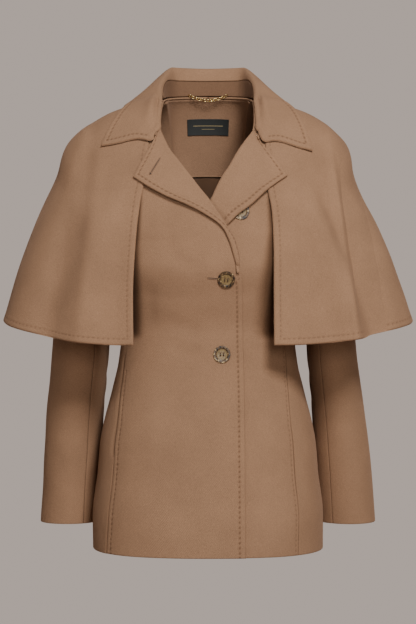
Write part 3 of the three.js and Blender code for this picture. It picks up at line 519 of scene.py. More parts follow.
def cape_fold(side, part, drop):
    """How far the capelet stands out in its folds."""
    grown = smooth(0.2, 1, drop)
    folds = [fold for fold in CAPE_FOLDS if fold["side"] == side]
    return sum(grown * fold["height"] * bell(part, fold["at"], fold["width"]) for fold in folds)


def cape_point(side, part, drop):
    """The capelet's outer face, from its front edge (0) to the centre back (1), neck to hem."""
    part, drop = np.broadcast_arrays(np.asarray(part, float), np.asarray(drop, float))
    ring = {name: curve(drop) for name, curve in cape_columns.items()}
    edge_x = ring["right" if side < 0 else "left"]
    side_x = ring["sideX"] - (ring["closer"] if side > 0 else 0)
    side_y = 6 * drop
    exponent = 2 / CAPE_POWER
    fold = cape_fold(side, part, drop)
    angle = np.clip(part / CAPE_SIDE, 0, 1) * math.pi / 2
    sin, cos = np.maximum(np.sin(angle), 0), np.maximum(np.cos(angle), 0)
    out, deep = sin**exponent, cos**exponent
    front = points(
        side * (mix(edge_x, side_x, out) + fold * out),
        mix(side_y, ring["edgeY"], deep) - fold * deep,
        mix(ring["sideZ"], ring["edgeZ"], cos ** mix(1, CAPE_CORNER, smooth(0.5, 1, drop))),
    )
    angle = np.clip((part - CAPE_SIDE) / (1 - CAPE_SIDE), 0, 1) * math.pi / 2
    sin, cos = np.abs(np.sin(angle)), np.abs(np.cos(angle))
    out, deep = cos**exponent, sin**exponent
    back = points(
        side * (side_x * out + fold * out),
        mix(side_y, ring["backY"], deep) + fold * deep,
        mix(ring["sideZ"], ring["backZ"], sin),
    )
    return np.where((part <= CAPE_SIDE)[..., None], front, back)


def sampled(surface, out, us, vs):
    """Places on a surface and the directions out of it."""
    u, v = np.meshgrid(us, vs)
    return surface(u, v).reshape(-1, 3), out(u, v).reshape(-1, 3)


def joined(samples):
    places, outs = zip(*samples)
    return np.concatenate(places), np.concatenate(outs)


def rest(grid, samples, clear, free, reach=math.inf):
    """Moves points to their height over sampled surfaces, letting them stand off as they are set free.

    A point that lies farther than the reach to the side of every sample stays where it is.
    """
    places, outs = samples
    shape = grid.shape
    moved = grid.reshape(-1, 3).copy()
    clear = np.broadcast_to(clear, shape[:-1]).ravel()
    free = np.broadcast_to(free, shape[:-1]).ravel()
    busy = np.ones(len(moved), bool)
    for attempt in range(4):
        at = np.flatnonzero(busy)
        near = np.concatenate([
            np.argmin(((moved[chunk, None] - places[None]) ** 2).sum(-1), axis=1)
            for chunk in np.array_split(at, len(at) // 400 + 1)
        ])
        offset = moved[at] - places[near]
        height = (offset * outs[near]).sum(-1)
        aside = np.sqrt(np.maximum((offset**2).sum(-1) - height**2, 0))
        done = (height > clear[at]) & (attempt > 0) | (aside > reach)
        wanted = np.where(height > clear[at], mix(clear[at], height, free[at]), clear[at])
        step = np.where(done, 0, wanted - height)
        moved[at] += outs[near] * step[:, None]
        busy[at[done]] = False
        if not busy.any():
            break
    return moved.reshape(shape)


def samples_under_cape():
    out = lambda u, v: cloth_normal("plain", u, v)
    samples = [sampled(body_point, out, np.linspace(-180, 180, 91), np.linspace(0.7, 1.99, 31))]
    for side in SIDES.values():
        surface = lambda u, v: sleeve_point(side, u, v)
        outward = lambda u, v: side * square_to(surface, u, v, 1, 0.012)
        samples.append(sampled(surface, outward, np.linspace(20, 340, 35), np.linspace(0.9, 1.95, 13)))
    return joined(samples)


def resting_cape(side, part, drop):
    """The capelet as it lies on the shoulders and hangs clear of the fronts, back and sleeves."""
    clear = mix(CAPE_CLEAR_FRONT, CAPE_CLEAR_ROUND, smooth(0.1, 0.25, part))
    free = smooth(CAPE_FREE_FROM, CAPE_FREE_TO, drop)
    return rest(cape_point(side, part, drop), UNDER_CAPE, clear, free)


def laid(us, vs, grid):
    """An even surface through a grid of points, read in rows that each lie at one v."""
    rows = spline(vs, grid)

    def surface(u, v):
        lines = rows(np.asarray(v, float)[:, 0]).swapaxes(0, 1)
        return spline(us, lines)(u, rows=np.arange(len(u))[:, None])

    return surface


UNDER_CAPE = samples_under_cape()
CAPE_PARTS = np.concatenate([np.linspace(0, CAPE_SIDE, 14), np.linspace(CAPE_SIDE, 0.9995, 13)[1:]])


def cape_surface(side):
    u, v = np.meshgrid(CAPE_PARTS, CAPE_DROPS)
    return laid(CAPE_PARTS, CAPE_DROPS, resting_cape(side, u, v))


# The lapels and the collar

def lapel_surface(side):
    """A lapel's face, from inside the front edge (0) round the roll to its outer edge (1)."""
    rows = LAPEL_RIGHT if side < 0 else LAPEL_LEFT
    tip = LAPEL_TIP[side]
    roll_x, roll_z = (column(rows, "at", name) for name in ("rollX", "rollZ"))
    edge_x, edge_z, proud = (cornered(rows, "at", name, tip) for name in ("edgeX", "edgeZ", "stand"))

    def surface(across, up):
        across, up = np.broadcast_arrays(np.asarray(across, float), np.asarray(up, float))
        stand = proud(up)
        length = np.hypot(edge_x(up) - roll_x(up), edge_z(up) - roll_z(up))
        low = -LAPEL_CLOTH
        high = low + np.minimum(stand + LAPEL_CLOTH, ROLL_HEIGHT)
        radius = (high - low) / 2
        angle = across / LAPEL_TURNED * (ROLL_LEAD + 180)
        around = np.radians(np.clip(angle - ROLL_LEAD, 0, 180))
        lead = np.maximum(ROLL_LEAD - angle, 0) / ROLL_LEAD
        led_run = mix(radius, ROLL_SET_BACK - 2 * SEAM, lead)
        turned_run = np.where(lead > 0, led_run, radius - radius * np.sin(around))
        turned_height = low + radius - radius * np.cos(around)
        share = np.clip((across - LAPEL_TURNED) / (1 - LAPEL_TURNED), 0, 1)
        flat = across >= LAPEL_TURNED
        run = np.where(flat, mix(radius, length, share), turned_run)
        height = np.where(flat, mix(high, stand, smooth(0, 0.8, share)), turned_height)
        x = mix(roll_x(up), edge_x(up), run / length)
        z = mix(roll_z(up), edge_z(up), run / length)
        return over_front("over" if side < 0 else "under", x, z, height)

    return surface


def collar_table():
    """The collar's rows for both sides, from the right gorge round the back to the left one."""
    both = []
    for side in (-1, 1):
        rows = []
        for row in COLLAR:
            tip = max(1 - row["at"] / LEFT_TIP_FADE, 0) if side > 0 else 0
            made = {**row, "at": row["at"] / 2 if side < 0 else 1 - row["at"] / 2}
            for name, shift in LEFT_TIP.items():
                made[name] += shift * tip
            for name in ("neckX", "rollX", "edgeX"):
                made[name] *= side
            rows.append(made)
        both += rows if side < 0 else rows[::-1][1:]
    return both


COLLAR_TABLE = collar_table()
collar_columns = {name: column(COLLAR_TABLE, "at", name) for name in COLLAR_TABLE[0]}


def collar_line(line, around):
    return points(*(collar_columns[line + axis](around) for axis in "XYZ"))


def between(start, leave, end, arrive, t):
    """A curve between two points that leaves and arrives along two given tangents."""
    u = 1 - t
    return start * u * u * (1 + 2 * t) + leave * t * u * u + end * t * t * (3 - 2 * t) - arrive * t * t * u


def stand_share(around):
    """How far up from the neck to the roll the collar is sewn to its stand."""
    return column(STAND, "at", "share")(2 * np.minimum(around, 1 - around))


def collar_point(across, around):
    """The collar's face, from its stand seam (0) over the roll to its outer edge (1)."""
    across, around = np.broadcast_arrays(np.asarray(across, float), np.asarray(around, float))
    neck, roll, edge = (collar_line(line, around) for line in ("neck", "roll", "edge"))
    rise = unit(roll - neck)
    fall = edge - roll
    out = unit(fall - rise * (fall * rise).sum(-1, keepdims=True))
    seam = mix(neck, roll, stand_share(around)[..., None])
    top = roll + out * ROLL_RADIUS
    pull = np.linalg.norm(roll - seam, axis=-1, keepdims=True)
    turned = (across / COLLAR_TURNED)[..., None]
    low = between(seam, rise * pull * 1.6, top, out * ROLL_RADIUS * 1.6, turned)
    share = (across - COLLAR_TURNED) / (1 - COLLAR_TURNED)
    drop = edge - top
    reach = np.linalg.norm(drop, axis=-1, keepdims=True)
    high = between(top, out * reach * 0.55, edge, drop * 0.9 - rise * reach * 0.12, share[..., None])
    front = 1 - smooth(0, GORGE_FADE / 2, np.minimum(around, 1 - around))
    notch = np.minimum(share / GORGE_SHARE, (1 - share) / (1 - GORGE_SHARE))
    inward = np.where(around < 0.5, around + 0.01, around - 0.01)
    forward = unit(collar_line("roll", around) - collar_line("roll", inward))
    high = high + forward * (GORGE_DROP * notch * front)[..., None]
    return np.where((across <= COLLAR_TURNED)[..., None], low, high)


def samples_under_collar():
    samples = []
    for side in SIDES.values():
        surface = lambda u, v: resting_cape(side, u, v)
        out = lambda u, v: -side * square_to(surface, u, v, 0.02, 0.02)
        samples.append(sampled(surface, out, np.linspace(0.01, 0.99, 41), np.linspace(0.01, 0.46, 15)))
    return joined(samples)


COLLAR_ACROSS = (0, 0.1, 0.2, 0.27, COLLAR_TURNED, 0.43, 0.58, 0.76, 1)
COLLAR_AROUND = np.linspace(COLLAR_START, 1 - COLLAR_START, COLLAR_ROWS + 1)


def collar_surface():
    u, v = np.meshgrid(COLLAR_ACROSS, COLLAR_AROUND)
    clear = COLLAR_CLEAR * smooth(0.34, 0.43, u)
    grid = collar_point(u, v)
    rested = rest(grid, samples_under_collar(), clear, 1.0, COLLAR_REACH)
    grid = np.where((clear > 0)[..., None], rested, grid)
    return laid(COLLAR_ACROSS, COLLAR_AROUND, grid)


def stand_point(share, around):
    neck, roll = collar_line("neck", around), collar_line("roll", around)
    gap = SEAM / np.linalg.norm(roll - neck, axis=-1)
    return mix(neck, roll, mix(gap, stand_share(around) - 1.5 * gap, share)[..., None])


# The inside of the back

def inside_back(turn, level, depth):
    """A place inside the back, at a depth under the outer face."""
    return body_point(turn, level) - cloth_normal("plain", turn, level) * np.asarray(depth, float)[..., None]


def back_level(z):
    return 1 + np.degrees(np.arcsin((z - UNDERARM) / (NECK_BACK_RISE - UNDERARM))) / 90


# Grids of cloth

ENDS = {"start": (1, 0), "end": (1, -1), "foot": (0, 0), "head": (0, -1)}


def arc(grid, axis):
    """The distance run along a grid's lines from their first point."""
    steps = np.linalg.norm(np.diff(grid, axis=axis), axis=-1)
    zero = np.zeros_like(np.take(steps, [0], axis=axis))
    return np.concatenate([zero, np.cumsum(steps, axis=axis)], axis=axis)


def spaced(length, near, far, count):
    """Distances along a line: close ones by each end, as given, and even ones between."""
    used = near[-1] + far[-1]
    squeeze = min(1.0, 0.7 * length / used) if used > 0 else 1.0
    first, last = np.array(near) * squeeze, length - np.array(far)[::-1] * squeeze
    return np.concatenate([first, np.linspace(first[-1], last[0], count + 1)[1:-1], last])


# How far from a finished edge the close rows lie: where it turns, and by its row of stitches.
CLOSE = {
    "open": (0,),
    "sewn": (0, 0.35, 0.9, 1.8),
    "turned": (0, 0.25, 0.7, 1.4, 2.6),
    "stitched": (0, 0.25, 0.7, 1.4, 2.6, 4.4, 6, 7, 7.8, 8.5, 9.2, 10, 11.2, 13),
    "topstitched": (0, 0.35, 0.9, 1.8, 3.0, 3.9, 4.5, 5.2, 6.2, 7.0, 7.6, 8.2, 9.0, 10.5),
}


class Cloth:
    """A grid of points on the outer face of a piece of cloth, measured along its lines."""

    def __init__(self, surface, rows, edges, step, turned):
        self.edges, self.side = edges, turned
        self.depth, self.keep = 1.0, {}
        between = rows.get("between", lambda share, v: share)
        levels = self.levels(surface, between, rows, step)[:, None]
        fine = np.linspace(*rows["us"], 240)[None]
        fine = np.broadcast_to(between(fine, levels), (len(levels), 240))
        runs = arc(surface(fine, np.broadcast_to(levels, fine.shape)), 1)
        near, far = CLOSE[edges["start"]], CLOSE[edges["end"]]
        count = max(int(runs[:, -1].max() / step), 2)
        places = np.array([
            np.interp(spaced(run[-1], near, far, count), run, across) for run, across in zip(runs, fine)
        ])
        self.points = surface(places, np.broadcast_to(levels, places.shape))
        self.measure()

    def levels(self, surface, between, rows, step):
        """The v of each row, spaced evenly along one line up the piece."""
        fine = np.linspace(*rows["vs"], 400)[:, None]
        at = np.broadcast_to(between(np.array([[float(rows["along"])]]), fine), fine.shape)
        run = arc(surface(at, fine), 0)[:, 0]
        near, far = CLOSE[self.edges["foot"]], CLOSE[self.edges["head"]]
        count = max(int(run[-1] / rows.get("step", step)), 2)
        return np.interp(spaced(run[-1], near, far, count), run, fine[:, 0])

    def measure(self):
        """Works out the directions out of the grid, and the distances to its four edges."""
        grid = self.points
        across, along = np.gradient(grid, axis=1), np.gradient(grid, axis=0)
        self.out = unit(np.cross(across, along)) * self.side
        self.across, self.up = arc(grid, 1), arc(grid, 0)
        self.to = {
            "start": self.across,
            "end": self.across[:, -1:] - self.across,
            "foot": self.up,
            "head": self.up[-1:] - self.up,
        }
        self.relief = np.zeros(grid.shape[:2])
        self.under = np.zeros(grid.shape[:2])
        # hollow: how much painted shade darkens the colour at each point.
        self.hollow = np.zeros(grid.shape[:2])
        self.chart = np.stack([self.across, self.up], axis=-1)

    def face(self):
        """The finished outer face."""
        return self.points + self.out * self.relief[..., None]

    def run(self, name):
        """How far along one edge each point lies."""
        axis, at = ENDS[name]
        line = self.up[:, at] if axis else self.across[at]
        return line[:, None] if axis else line[None]

    def cut(self):
        """The flat size of the piece and its area, in metres."""
        grid = self.points * MM
        width = arc(grid, 1)[:, -1].max()
        length = arc(grid, 0)[-1].max()
        diagonals = np.cross(grid[1:, 1:] - grid[:-1, :-1], grid[1:, :-1] - grid[:-1, 1:])
        return (float(width), float(length)), float(np.linalg.norm(diagonals, axis=-1).sum() / 2)


# Finishing edges and surfaces

STITCH_INSET = 9.0
PUFF = 0.6
GROOVE = 0.15
DIMPLE = 1.25
SEAM_DEPTH = 0.85
SEAM_ROUND = 1.7
SEAM_PAINTED_SHADE = 0.55
STITCH_PAINTED_SHADE = 0.6


def finish_edges(cloth, thick, stitching):
    """Rounds each edge over with painted shade along sewn seams, and puffs and dimples those that are
    stitched.
    """
    for name, kind in cloth.edges.items():
        distance = cloth.to[name]
        if kind in ("sewn", "topstitched"):
            turn = rounded(distance, SEAM_ROUND)
            cloth.relief -= turn * SEAM_DEPTH
            # Painted shade along the seam's groove.
            cloth.hollow += turn * SEAM_PAINTED_SHADE
        elif kind == "turned":
            turn = rounded(distance, thick * 0.6)
            cloth.relief -= turn * thick / 2
            cloth.under += turn * thick / 2
        elif kind == "stitched":
            turn = rounded(distance, thick * 0.75)
            cloth.relief -= turn * (thick / 2 + PUFF)
            cloth.under += turn * thick / 2
            puffed = smooth(0, 2, distance) * (1 - smooth(STITCH_INSET - 2, STITCH_INSET + 7, distance))
            cloth.relief += PUFF * cloth.depth * puffed
            press_stitches(cloth, name, STITCH_INSET, stitching)


def rounded(distance, radius):
    """How far a rounded edge has turned, from 0 inside it to nearly 1 at its rim."""
    return 1 - np.sqrt(1 - np.clip(1 - distance / radius, 0, 0.985) ** 2)


def other_stitched(cloth, name):
    """The other edges that carry a row of stitches."""
    return [other for other, kind in cloth.edges.items() if kind == "stitched" and other != name]


def clear_of_others(cloth, name):
    """1 except where a row of stitches would run out past another stitched edge's own row."""
    others = [cloth.to[other] for other in other_stitched(cloth, name)]
    if not others:
        return 1.0
    return smooth(STITCH_INSET * 0.7, STITCH_INSET, np.minimum.reduce(others))


def press_stitches(cloth, name, inset, stitching, depth=1.0):
    """Draws the cloth in along a row of stitches, deepest at each stitch, with painted shade in the groove
    and dimples.
    """
    distance, run = cloth.to[name], cloth.run(name)
    kept = clear_of_others(cloth, name) * cloth.depth * depth
    if name in cloth.keep:
        kept = kept * cloth.keep[name](cloth.points)
    beat = (0.5 + 0.5 * np.cos(2 * math.pi * run / stitching.pitch)) ** 1.5
    cloth.relief -= bell(distance, inset, 1.5) * kept * (GROOVE + DIMPLE * beat)
    # Painted shade in the groove, darkest in each stitch's dimple.
    cloth.hollow += bell(distance, inset, 1.25) * kept * (0.02 + STITCH_PAINTED_SHADE * beat)


def crease(cloth, creases):
    """Adds soft troughs and ridges, each from one place on the cloth's chart to another, in millimetres."""
    for fold in creases:
        start = np.array([fold["x"], fold["y"]], float)
        line = np.array([fold["to_x"], fold["to_y"]], float) - start
        length = np.hypot(*line)
        dx, dy = cloth.chart[..., 0] - start[0], cloth.chart[..., 1] - start[1]
        along = (dx * line[0] + dy * line[1]) / length
        aside = (dx * line[1] - dy * line[0]) / length
        share = along / length
        bow = fold["bow"] * np.sin(math.pi * np.clip(share, 0, 1))
        taper = smooth(-0.15, 0.3, share) * (1 - smooth(0.6, 1.15, share))
        cloth.relief += fold["height"] * taper * bell(aside, bow, fold["width"])


def unevenness(cloth, height, seed):
    """The slight unevenness of cloth that has been worn and pressed."""
    random = np.random.default_rng(seed + 40)
    total = np.zeros_like(cloth.relief)
    for i in range(6):
        across = unit(random.normal(size=3))
        total += np.sin(cloth.points @ across * 2 * math.pi / (60 + 22 * i) + random.uniform(0, 2 * math.pi))
    cloth.relief += height * total / 3


def cloth_mesh(name, cloth, thick, material, node):
    """The closed wall of a piece of cloth, which stands for its solid."""
    outer = cloth.face()
    inner = cloth.points - cloth.out * (thick - cloth.under)[..., None]
    high, wide = cloth.relief.shape
    index = np.arange(2 * high * wide).reshape(2, high, wide)
    top, base = index
    loops = [
        [top[:-1, :-1], top[:-1, 1:], top[1:, 1:], top[1:, :-1]],
        [base[:-1, :-1], base[1:, :-1], base[1:, 1:], base[:-1, 1:]],
        [top[:-1, 0], top[1:, 0], base[1:, 0], base[:-1, 0]],
        [top[1:, -1], top[:-1, -1], base[:-1, -1], base[1:, -1]],
        [top[0, 1:], top[0, :-1], base[0, :-1], base[0, 1:]],
        [top[-1, :-1], top[-1, 1:], base[-1, 1:], base[-1, :-1]],
    ]
    faces = np.concatenate([np.stack([line.ravel() for line in quad], axis=1) for quad in loops])
    if cloth.side < 0:
        faces = faces[:, ::-1]
    vertices = np.concatenate([outer.reshape(-1, 3), inner.reshape(-1, 3)]) * MM
    flat = np.stack([-cloth.to["end"], cloth.up], axis=-1).reshape(-1, 2) * MM
    piece = make_mesh(name, vertices, faces, material, np.concatenate([flat, flat]))
    # The hollow attribute carries the painted shade to the wool material.
    hollow = piece.data.attributes.new("hollow", "FLOAT", "POINT")
    depth = np.clip(cloth.hollow, 0, 1).ravel()
    hollow.data.foreach_set("value", np.concatenate([depth, depth * 0]).astype(np.float32))
    size, area = cloth.cut()
    declare(piece, node)
    return piece


def make_mesh(name, vertices, faces, material, flat):
    """A smooth mesh object from arrays, with its flat places as its UV map."""
    mesh = bpy.data.meshes.new(name)
    mesh.from_pydata(vertices.tolist(), [], faces.tolist())
    layer = mesh.uv_layers.new(name="Cloth")
    corners = np.zeros(len(mesh.loops), np.int32)
    mesh.loops.foreach_get("vertex_index", corners)
    layer.data.foreach_set("uv", flat[corners].astype(np.float32).ravel())
    return add_smooth(name, mesh, material)


def link_new(name, data):
    """An object of some data, in the scene."""
    made = bpy.data.objects.new(name, data)
    bpy.context.scene.collection.objects.link(made)
    return made


def add_smooth(name, mesh, material):
    """A smooth object of a mesh and its one material."""
    mesh.polygons.foreach_set("use_smooth", [True] * len(mesh.polygons))
    mesh.materials.append(material)
    mesh.update()
    return link_new(name, mesh)


def declare(piece, node):
    """The piece moves with the part, and may stand for a solid, whose part it hides."""
    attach(piece, "root")
    if node:
        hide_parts(node)


# Materials

def material_of(name, build):
    """A material by its name, made once."""
    if name in bpy.data.materials:
        return bpy.data.materials[name]
    made = bpy.data.materials.new(name)
    made.use_nodes = True
    nodes, links = made.node_tree.nodes, made.node_tree.links
    build(nodes, links, nodes["Principled BSDF"])
    return made


def set_inputs(node, **values):
    """Sets a node's named inputs, a space in a name written as an underscore."""
    for name, value in values.items():
        node.inputs[name.replace("_", " ")].default_value = value
    return node


def add_node(nodes, kind, **values):
    return set_inputs(nodes.new("ShaderNode" + kind), **values)


def mapped(nodes, links, vector, **values):
    """A vector turned or stretched by a Mapping node."""
    made = add_node(nodes, "Mapping", **values)
    links.new(vector, made.inputs["Vector"])
    return made.outputs["Vector"]


def attribute(nodes, name):
    made = add_node(nodes, "Attribute")
    made.attribute_name = name
    return made.outputs["Fac"]


def noise(nodes, links, vector, scale, detail=3.0):
    made = add_node(nodes, "TexNoise", Scale=scale, Detail=detail, Roughness=0.6)
    links.new(vector, made.inputs["Vector"])
    return made.outputs["Fac"]


def ramp(nodes, links, factor, stops):
    made = add_node(nodes, "ValToRGB")
    elements = made.color_ramp.elements
    while len(elements) < len(stops):
        elements.new(0.5)
    for element, (position, color) in zip(elements, stops):
        element.position = position
        element.color = (*color, 1)
    links.new(factor, made.inputs["Fac"])
    return made.outputs["Color"]


def shades(color, low, high):
    """A darker and a lighter shade of a colour."""
    return [tuple(channel * share for channel in color) for share in (low, high)]


def bump(nodes, links, shader, layers):
    """Stacks heights, each with its depth in metres, under the shader's normal."""
    previous = None
    for height, depth in layers:
        made = add_node(nodes, "Bump", Strength=1.0, Distance=depth)
        links.new(height, made.inputs["Height"])
        if previous:
            links.new(previous, made.inputs["Normal"])
        previous = made.outputs["Normal"]
    links.new(previous, shader.inputs["Normal"])


def mottle(nodes, links, factor, color, low, high, span=(0.35, 0.65)):
    """A colour that goes from a darker to a lighter shade over a span of a factor."""
    return ramp(nodes, links, factor, list(zip(span, shades(color, low, high))))


def blend_colors(nodes, links, first, second, factor, kind="MIX"):
    """Two colours mixed by a factor, which is a number or a socket."""
    made = add_node(nodes, "Mix")
    made.data_type = "RGBA"
    made.blend_type = kind
    if isinstance(factor, float):
        made.inputs["Factor"].default_value = factor
    else:
        links.new(factor, made.inputs["Factor"])
    links.new(first, made.inputs["A"])
    links.new(second, made.inputs["B"])
    return made.outputs["Result"]


def multiply(nodes, links, first, second):
    return blend_colors(nodes, links, first, second, 1.0, "MULTIPLY")


def paint_shade_in_hollows(nodes, links, color):
    """Paints shade into a colour where the cloth is marked hollow: in seams, stitch holes and deep shade,
    such as beside the capelet's edges and on the collar stand.
    """
    stops = [(0.0, (1, 1, 1)), (0.6, (0.40, 0.36, 0.33)), (1.0, (0.16, 0.13, 0.11))]
    return multiply(nodes, links, color, ramp(nodes, links, attribute(nodes, "hollow"), stops))


def wool(name, color, nap=0.25):
    """Milled wool: a faint twill under a short nap, mottled as its fibres take the dye."""
    def build(nodes, links, shader):
        place = add_node(nodes, "TexCoord")
        whole, flat = place.outputs["Object"], place.outputs["UV"]
        fibre = noise(nodes, links, whole, 900.0, 4.0)
        tuft = noise(nodes, links, whole, 260.0, 3.0)
        cloud = noise(nodes, links, whole, 14.0, 3.0)
        tilted = mapped(nodes, links, flat, Rotation=(0, 0, math.radians(38)))
        twill = add_node(nodes, "TexWave", Scale=150.0, Distortion=1.5, Detail=2.0)
        links.new(tilted, twill.inputs["Vector"])
        fine = mottle(nodes, links, fibre, color, 0.80, 1.18, (0.3, 0.72))
        wide = mottle(nodes, links, cloud, (1, 1, 1), 0.9, 1.06, (0.3, 0.7))
        # Painted shade from the hollow attribute darkens the wool's colour.
        shaded = paint_shade_in_hollows(nodes, links, multiply(nodes, links, fine, wide))
        links.new(shaded, shader.inputs["Base Color"])
        tint = (*[min(c * 1.6 + 0.1, 1) for c in color], 1)
        set_inputs(shader, Roughness=0.92, Specular_IOR_Level=0.15, Sheen_Weight=nap, Sheen_Roughness=0.45,
                   Sheen_Tint=tint)
        bump(nodes, links, shader, [(twill.outputs["Fac"], 0.00012), (tuft, 0.0004), (fibre, 0.00025)])

    return material_of(name, build)


def satin(name, color):
    """Satin lining: close threads that catch the light along them."""
    def build(nodes, links, shader):
        place = add_node(nodes, "TexCoord")
        stretched = mapped(nodes, links, place.outputs["UV"], Scale=(2600, 300, 1))
        thread = noise(nodes, links, stretched, 1.0, 2.0)
        cloud = noise(nodes, links, place.outputs["Object"], 22.0, 2.0)
        dyed = mottle(nodes, links, cloud, color, 0.8, 1.25, (0.3, 0.7))
        links.new(dyed, shader.inputs["Base Color"])
        set_inputs(shader, Roughness=0.5, Specular_IOR_Level=0.3)
        bump(nodes, links, shader, [(thread, 0.00005)])

    return material_of(name, build)


def plain_thread(name, color):
    """Twisted thread."""
    def build(nodes, links, shader):
        place = add_node(nodes, "TexCoord")
        twist = noise(nodes, links, place.outputs["Object"], 2500.0, 2.0)
        links.new(mottle(nodes, links, twist, color, 0.75, 1.2), shader.inputs["Base Color"])
        set_inputs(shader, Roughness=0.7)
        bump(nodes, links, shader, [(twist, 0.0001)])

    return material_of(name, build)


LABEL_RULES = table("x y half_width half_height", (-32.5, 14.6, 23, 0.5), (-32.5, 9.4, 10, 0.32))


def calculate(nodes, links, operation, *values):
    """A Math node on sockets and numbers."""
    made = add_node(nodes, "Math")
    made.operation = operation
    for i, value in enumerate(values):
        if isinstance(value, (int, float)):
            made.inputs[i].default_value = value
        else:
            links.new(value, made.inputs[i])
    return made.outputs["Value"]


def inside_rule(nodes, links, flat, rule):
    """1 on a plain woven rule and 0 beside it."""
    near = []
    for axis, middle, half in (("X", "x", "half_width"), ("Y", "y", "half_height")):
        away = calculate(nodes, links, "SUBTRACT", flat.outputs[axis], rule[middle] * MM)
        away = calculate(nodes, links, "ABSOLUTE", away)
        near.append(calculate(nodes, links, "LESS_THAN", away, rule[half] * MM))
    return calculate(nodes, links, "MULTIPLY", *near)


def woven_label(name, color, rules):
    """The label's tight satin weave, with two plain rules woven in gold thread."""
    def build(nodes, links, shader):
        place = add_node(nodes, "TexCoord")
        stretched = mapped(nodes, links, place.outputs["UV"], Scale=(700, 3500, 1))
        thread = noise(nodes, links, stretched, 1.0, 2.0)
        ground = mottle(nodes, links, thread, color, 0.7, 1.5)
        woven = mottle(nodes, links, thread, rules, 0.75, 1.15)
        flat = add_node(nodes, "SeparateXYZ")
        links.new(place.outputs["UV"], flat.inputs["Vector"])
        inside = [inside_rule(nodes, links, flat, rule) for rule in LABEL_RULES]
        blend = blend_colors(nodes, links, ground, woven, calculate(nodes, links, "MAXIMUM", *inside))
        links.new(blend, shader.inputs["Base Color"])
        set_inputs(shader, Roughness=0.55)
        bump(nodes, links, shader, [(thread, 0.00008)])

    return material_of(name, build)


def tortoiseshell(name, dark, middle, light, centre):
    """Mottled horn: black and pale patches round the rim, and a clearer dished middle."""
    def build(nodes, links, shader):
        place = add_node(nodes, "TexCoord")
        patches = noise(nodes, links, place.outputs["Object"], 210.0, 2.0)
        streaks = noise(nodes, links, place.outputs["Object"], 600.0, 2.0)
        stops = [(0.42, dark), (0.48, middle), (0.52, dark), (0.60, middle), (0.66, light)]
        mottled = ramp(nodes, links, patches, stops)
        clear = mottle(nodes, links, streaks, centre, 0.62, 1.15, (0.35, 0.6))
        share = ramp(nodes, links, attribute(nodes, "rim"), [(0.56, (0, 0, 0)), (0.68, (1, 1, 1))])
        links.new(blend_colors(nodes, links, clear, mottled, share), shader.inputs["Base Color"])
        set_inputs(shader, Roughness=0.45, Specular_IOR_Level=0.3, Coat_Weight=0.12, Coat_Roughness=0.12)

    return material_of(name, build)


def gold(name, color):
    """Polished gold plate with a little wear."""
    def build(nodes, links, shader):
        place = add_node(nodes, "TexCoord")
        wear = noise(nodes, links, place.outputs["Object"], 400.0, 2.0)
        links.new(mottle(nodes, links, wear, color, 0.8, 1.1), shader.inputs["Base Color"])
        set_inputs(shader, Metallic=1.0, Roughness=0.28)

    return material_of(name, build)


def studio_paper(name, color):
    def build(nodes, links, shader):
        place = add_node(nodes, "TexCoord")
        grain = noise(nodes, links, place.outputs["Object"], 6.0, 2.0)
        paper = mottle(nodes, links, grain, color, 0.985, 1.015, (0.3, 0.7))
        links.new(paper, shader.inputs["Base Color"])
        set_inputs(shader, Roughness=0.95)

    return material_of(name, build)


# Settings that a user would change

class JacketCloth(bpy.types.PropertyGroup):
    """Colours of the cloth"""

    wool: FloatVectorProperty(
        name="Wool", description="Colour of the outer wool", subtype="COLOR",
        default=(0.330, 0.187, 0.107), min=0, max=1)
    # The facing is the outer wool made darker: painted shade for the inside of the neck and the collar stand.
    facing: FloatVectorProperty(
        name="Facing", description="Colour of the wool inside the neck", subtype="COLOR",
        default=(0.290, 0.163, 0.095), min=0, max=1)
    lining: FloatVectorProperty(
        name="Lining", description="Colour of the satin lining", subtype="COLOR",
        default=(0.085, 0.036, 0.012), min=0, max=1)
    label: FloatVectorProperty(
        name="Label", description="Colour of the woven label", subtype="COLOR",
        default=(0.012, 0.013, 0.012), min=0, max=1)
    rules: FloatVectorProperty(
        name="Rules", description="Colour of the rules woven into the label", subtype="COLOR",
        default=(0.33, 0.25, 0.12), min=0, max=1)
    nap: FloatProperty(
        name="Nap", description="How much the wool's short fibres catch the light", subtype="FACTOR",
        default=0.2, min=0, max=1)
    wear: FloatProperty(
        name="Unevenness", description="Height of the cloth's slight waves in millimetres",
        default=0.5, min=0, max=3)


class JacketStitching(bpy.types.PropertyGroup):
    """The pick stitching along the edges"""

    pitch: FloatProperty(
        name="Pitch", description="From one stitch to the next, in millimetres", default=7.2, min=3, max=15)
    length: FloatProperty(
        name="Length", description="Length of a stitch in millimetres", default=3.6, min=1, max=10)
    # The thread is darker than the wool: its own colour, with painted shade for the stitch dimples.
    thread: FloatVectorProperty(
        name="Thread", description="Colour of the thread", subtype="COLOR",
        default=(0.20, 0.105, 0.055), min=0, max=1)


class JacketButtons(bpy.types.PropertyGroup):
    """The horn buttons"""

    radius: FloatProperty(
        name="Radius", description="Radius of a button in millimetres", default=12.5, min=5, max=20)
    dark: FloatVectorProperty(
        name="Dark", description="Darkest colour of the horn", subtype="COLOR",
        default=(0.012, 0.008, 0.006), min=0, max=1)
    middle: FloatVectorProperty(
        name="Middle", description="Brown of the horn", subtype="COLOR",
        default=(0.16, 0.085, 0.035), min=0, max=1)
    light: FloatVectorProperty(
        name="Light", description="Palest colour of the horn", subtype="COLOR",
        default=(0.50, 0.36, 0.18), min=0, max=1)
    centre: FloatVectorProperty(
        name="Centre", description="Colour of the dished middle", subtype="COLOR",
        default=(0.24, 0.155, 0.062), min=0, max=1)


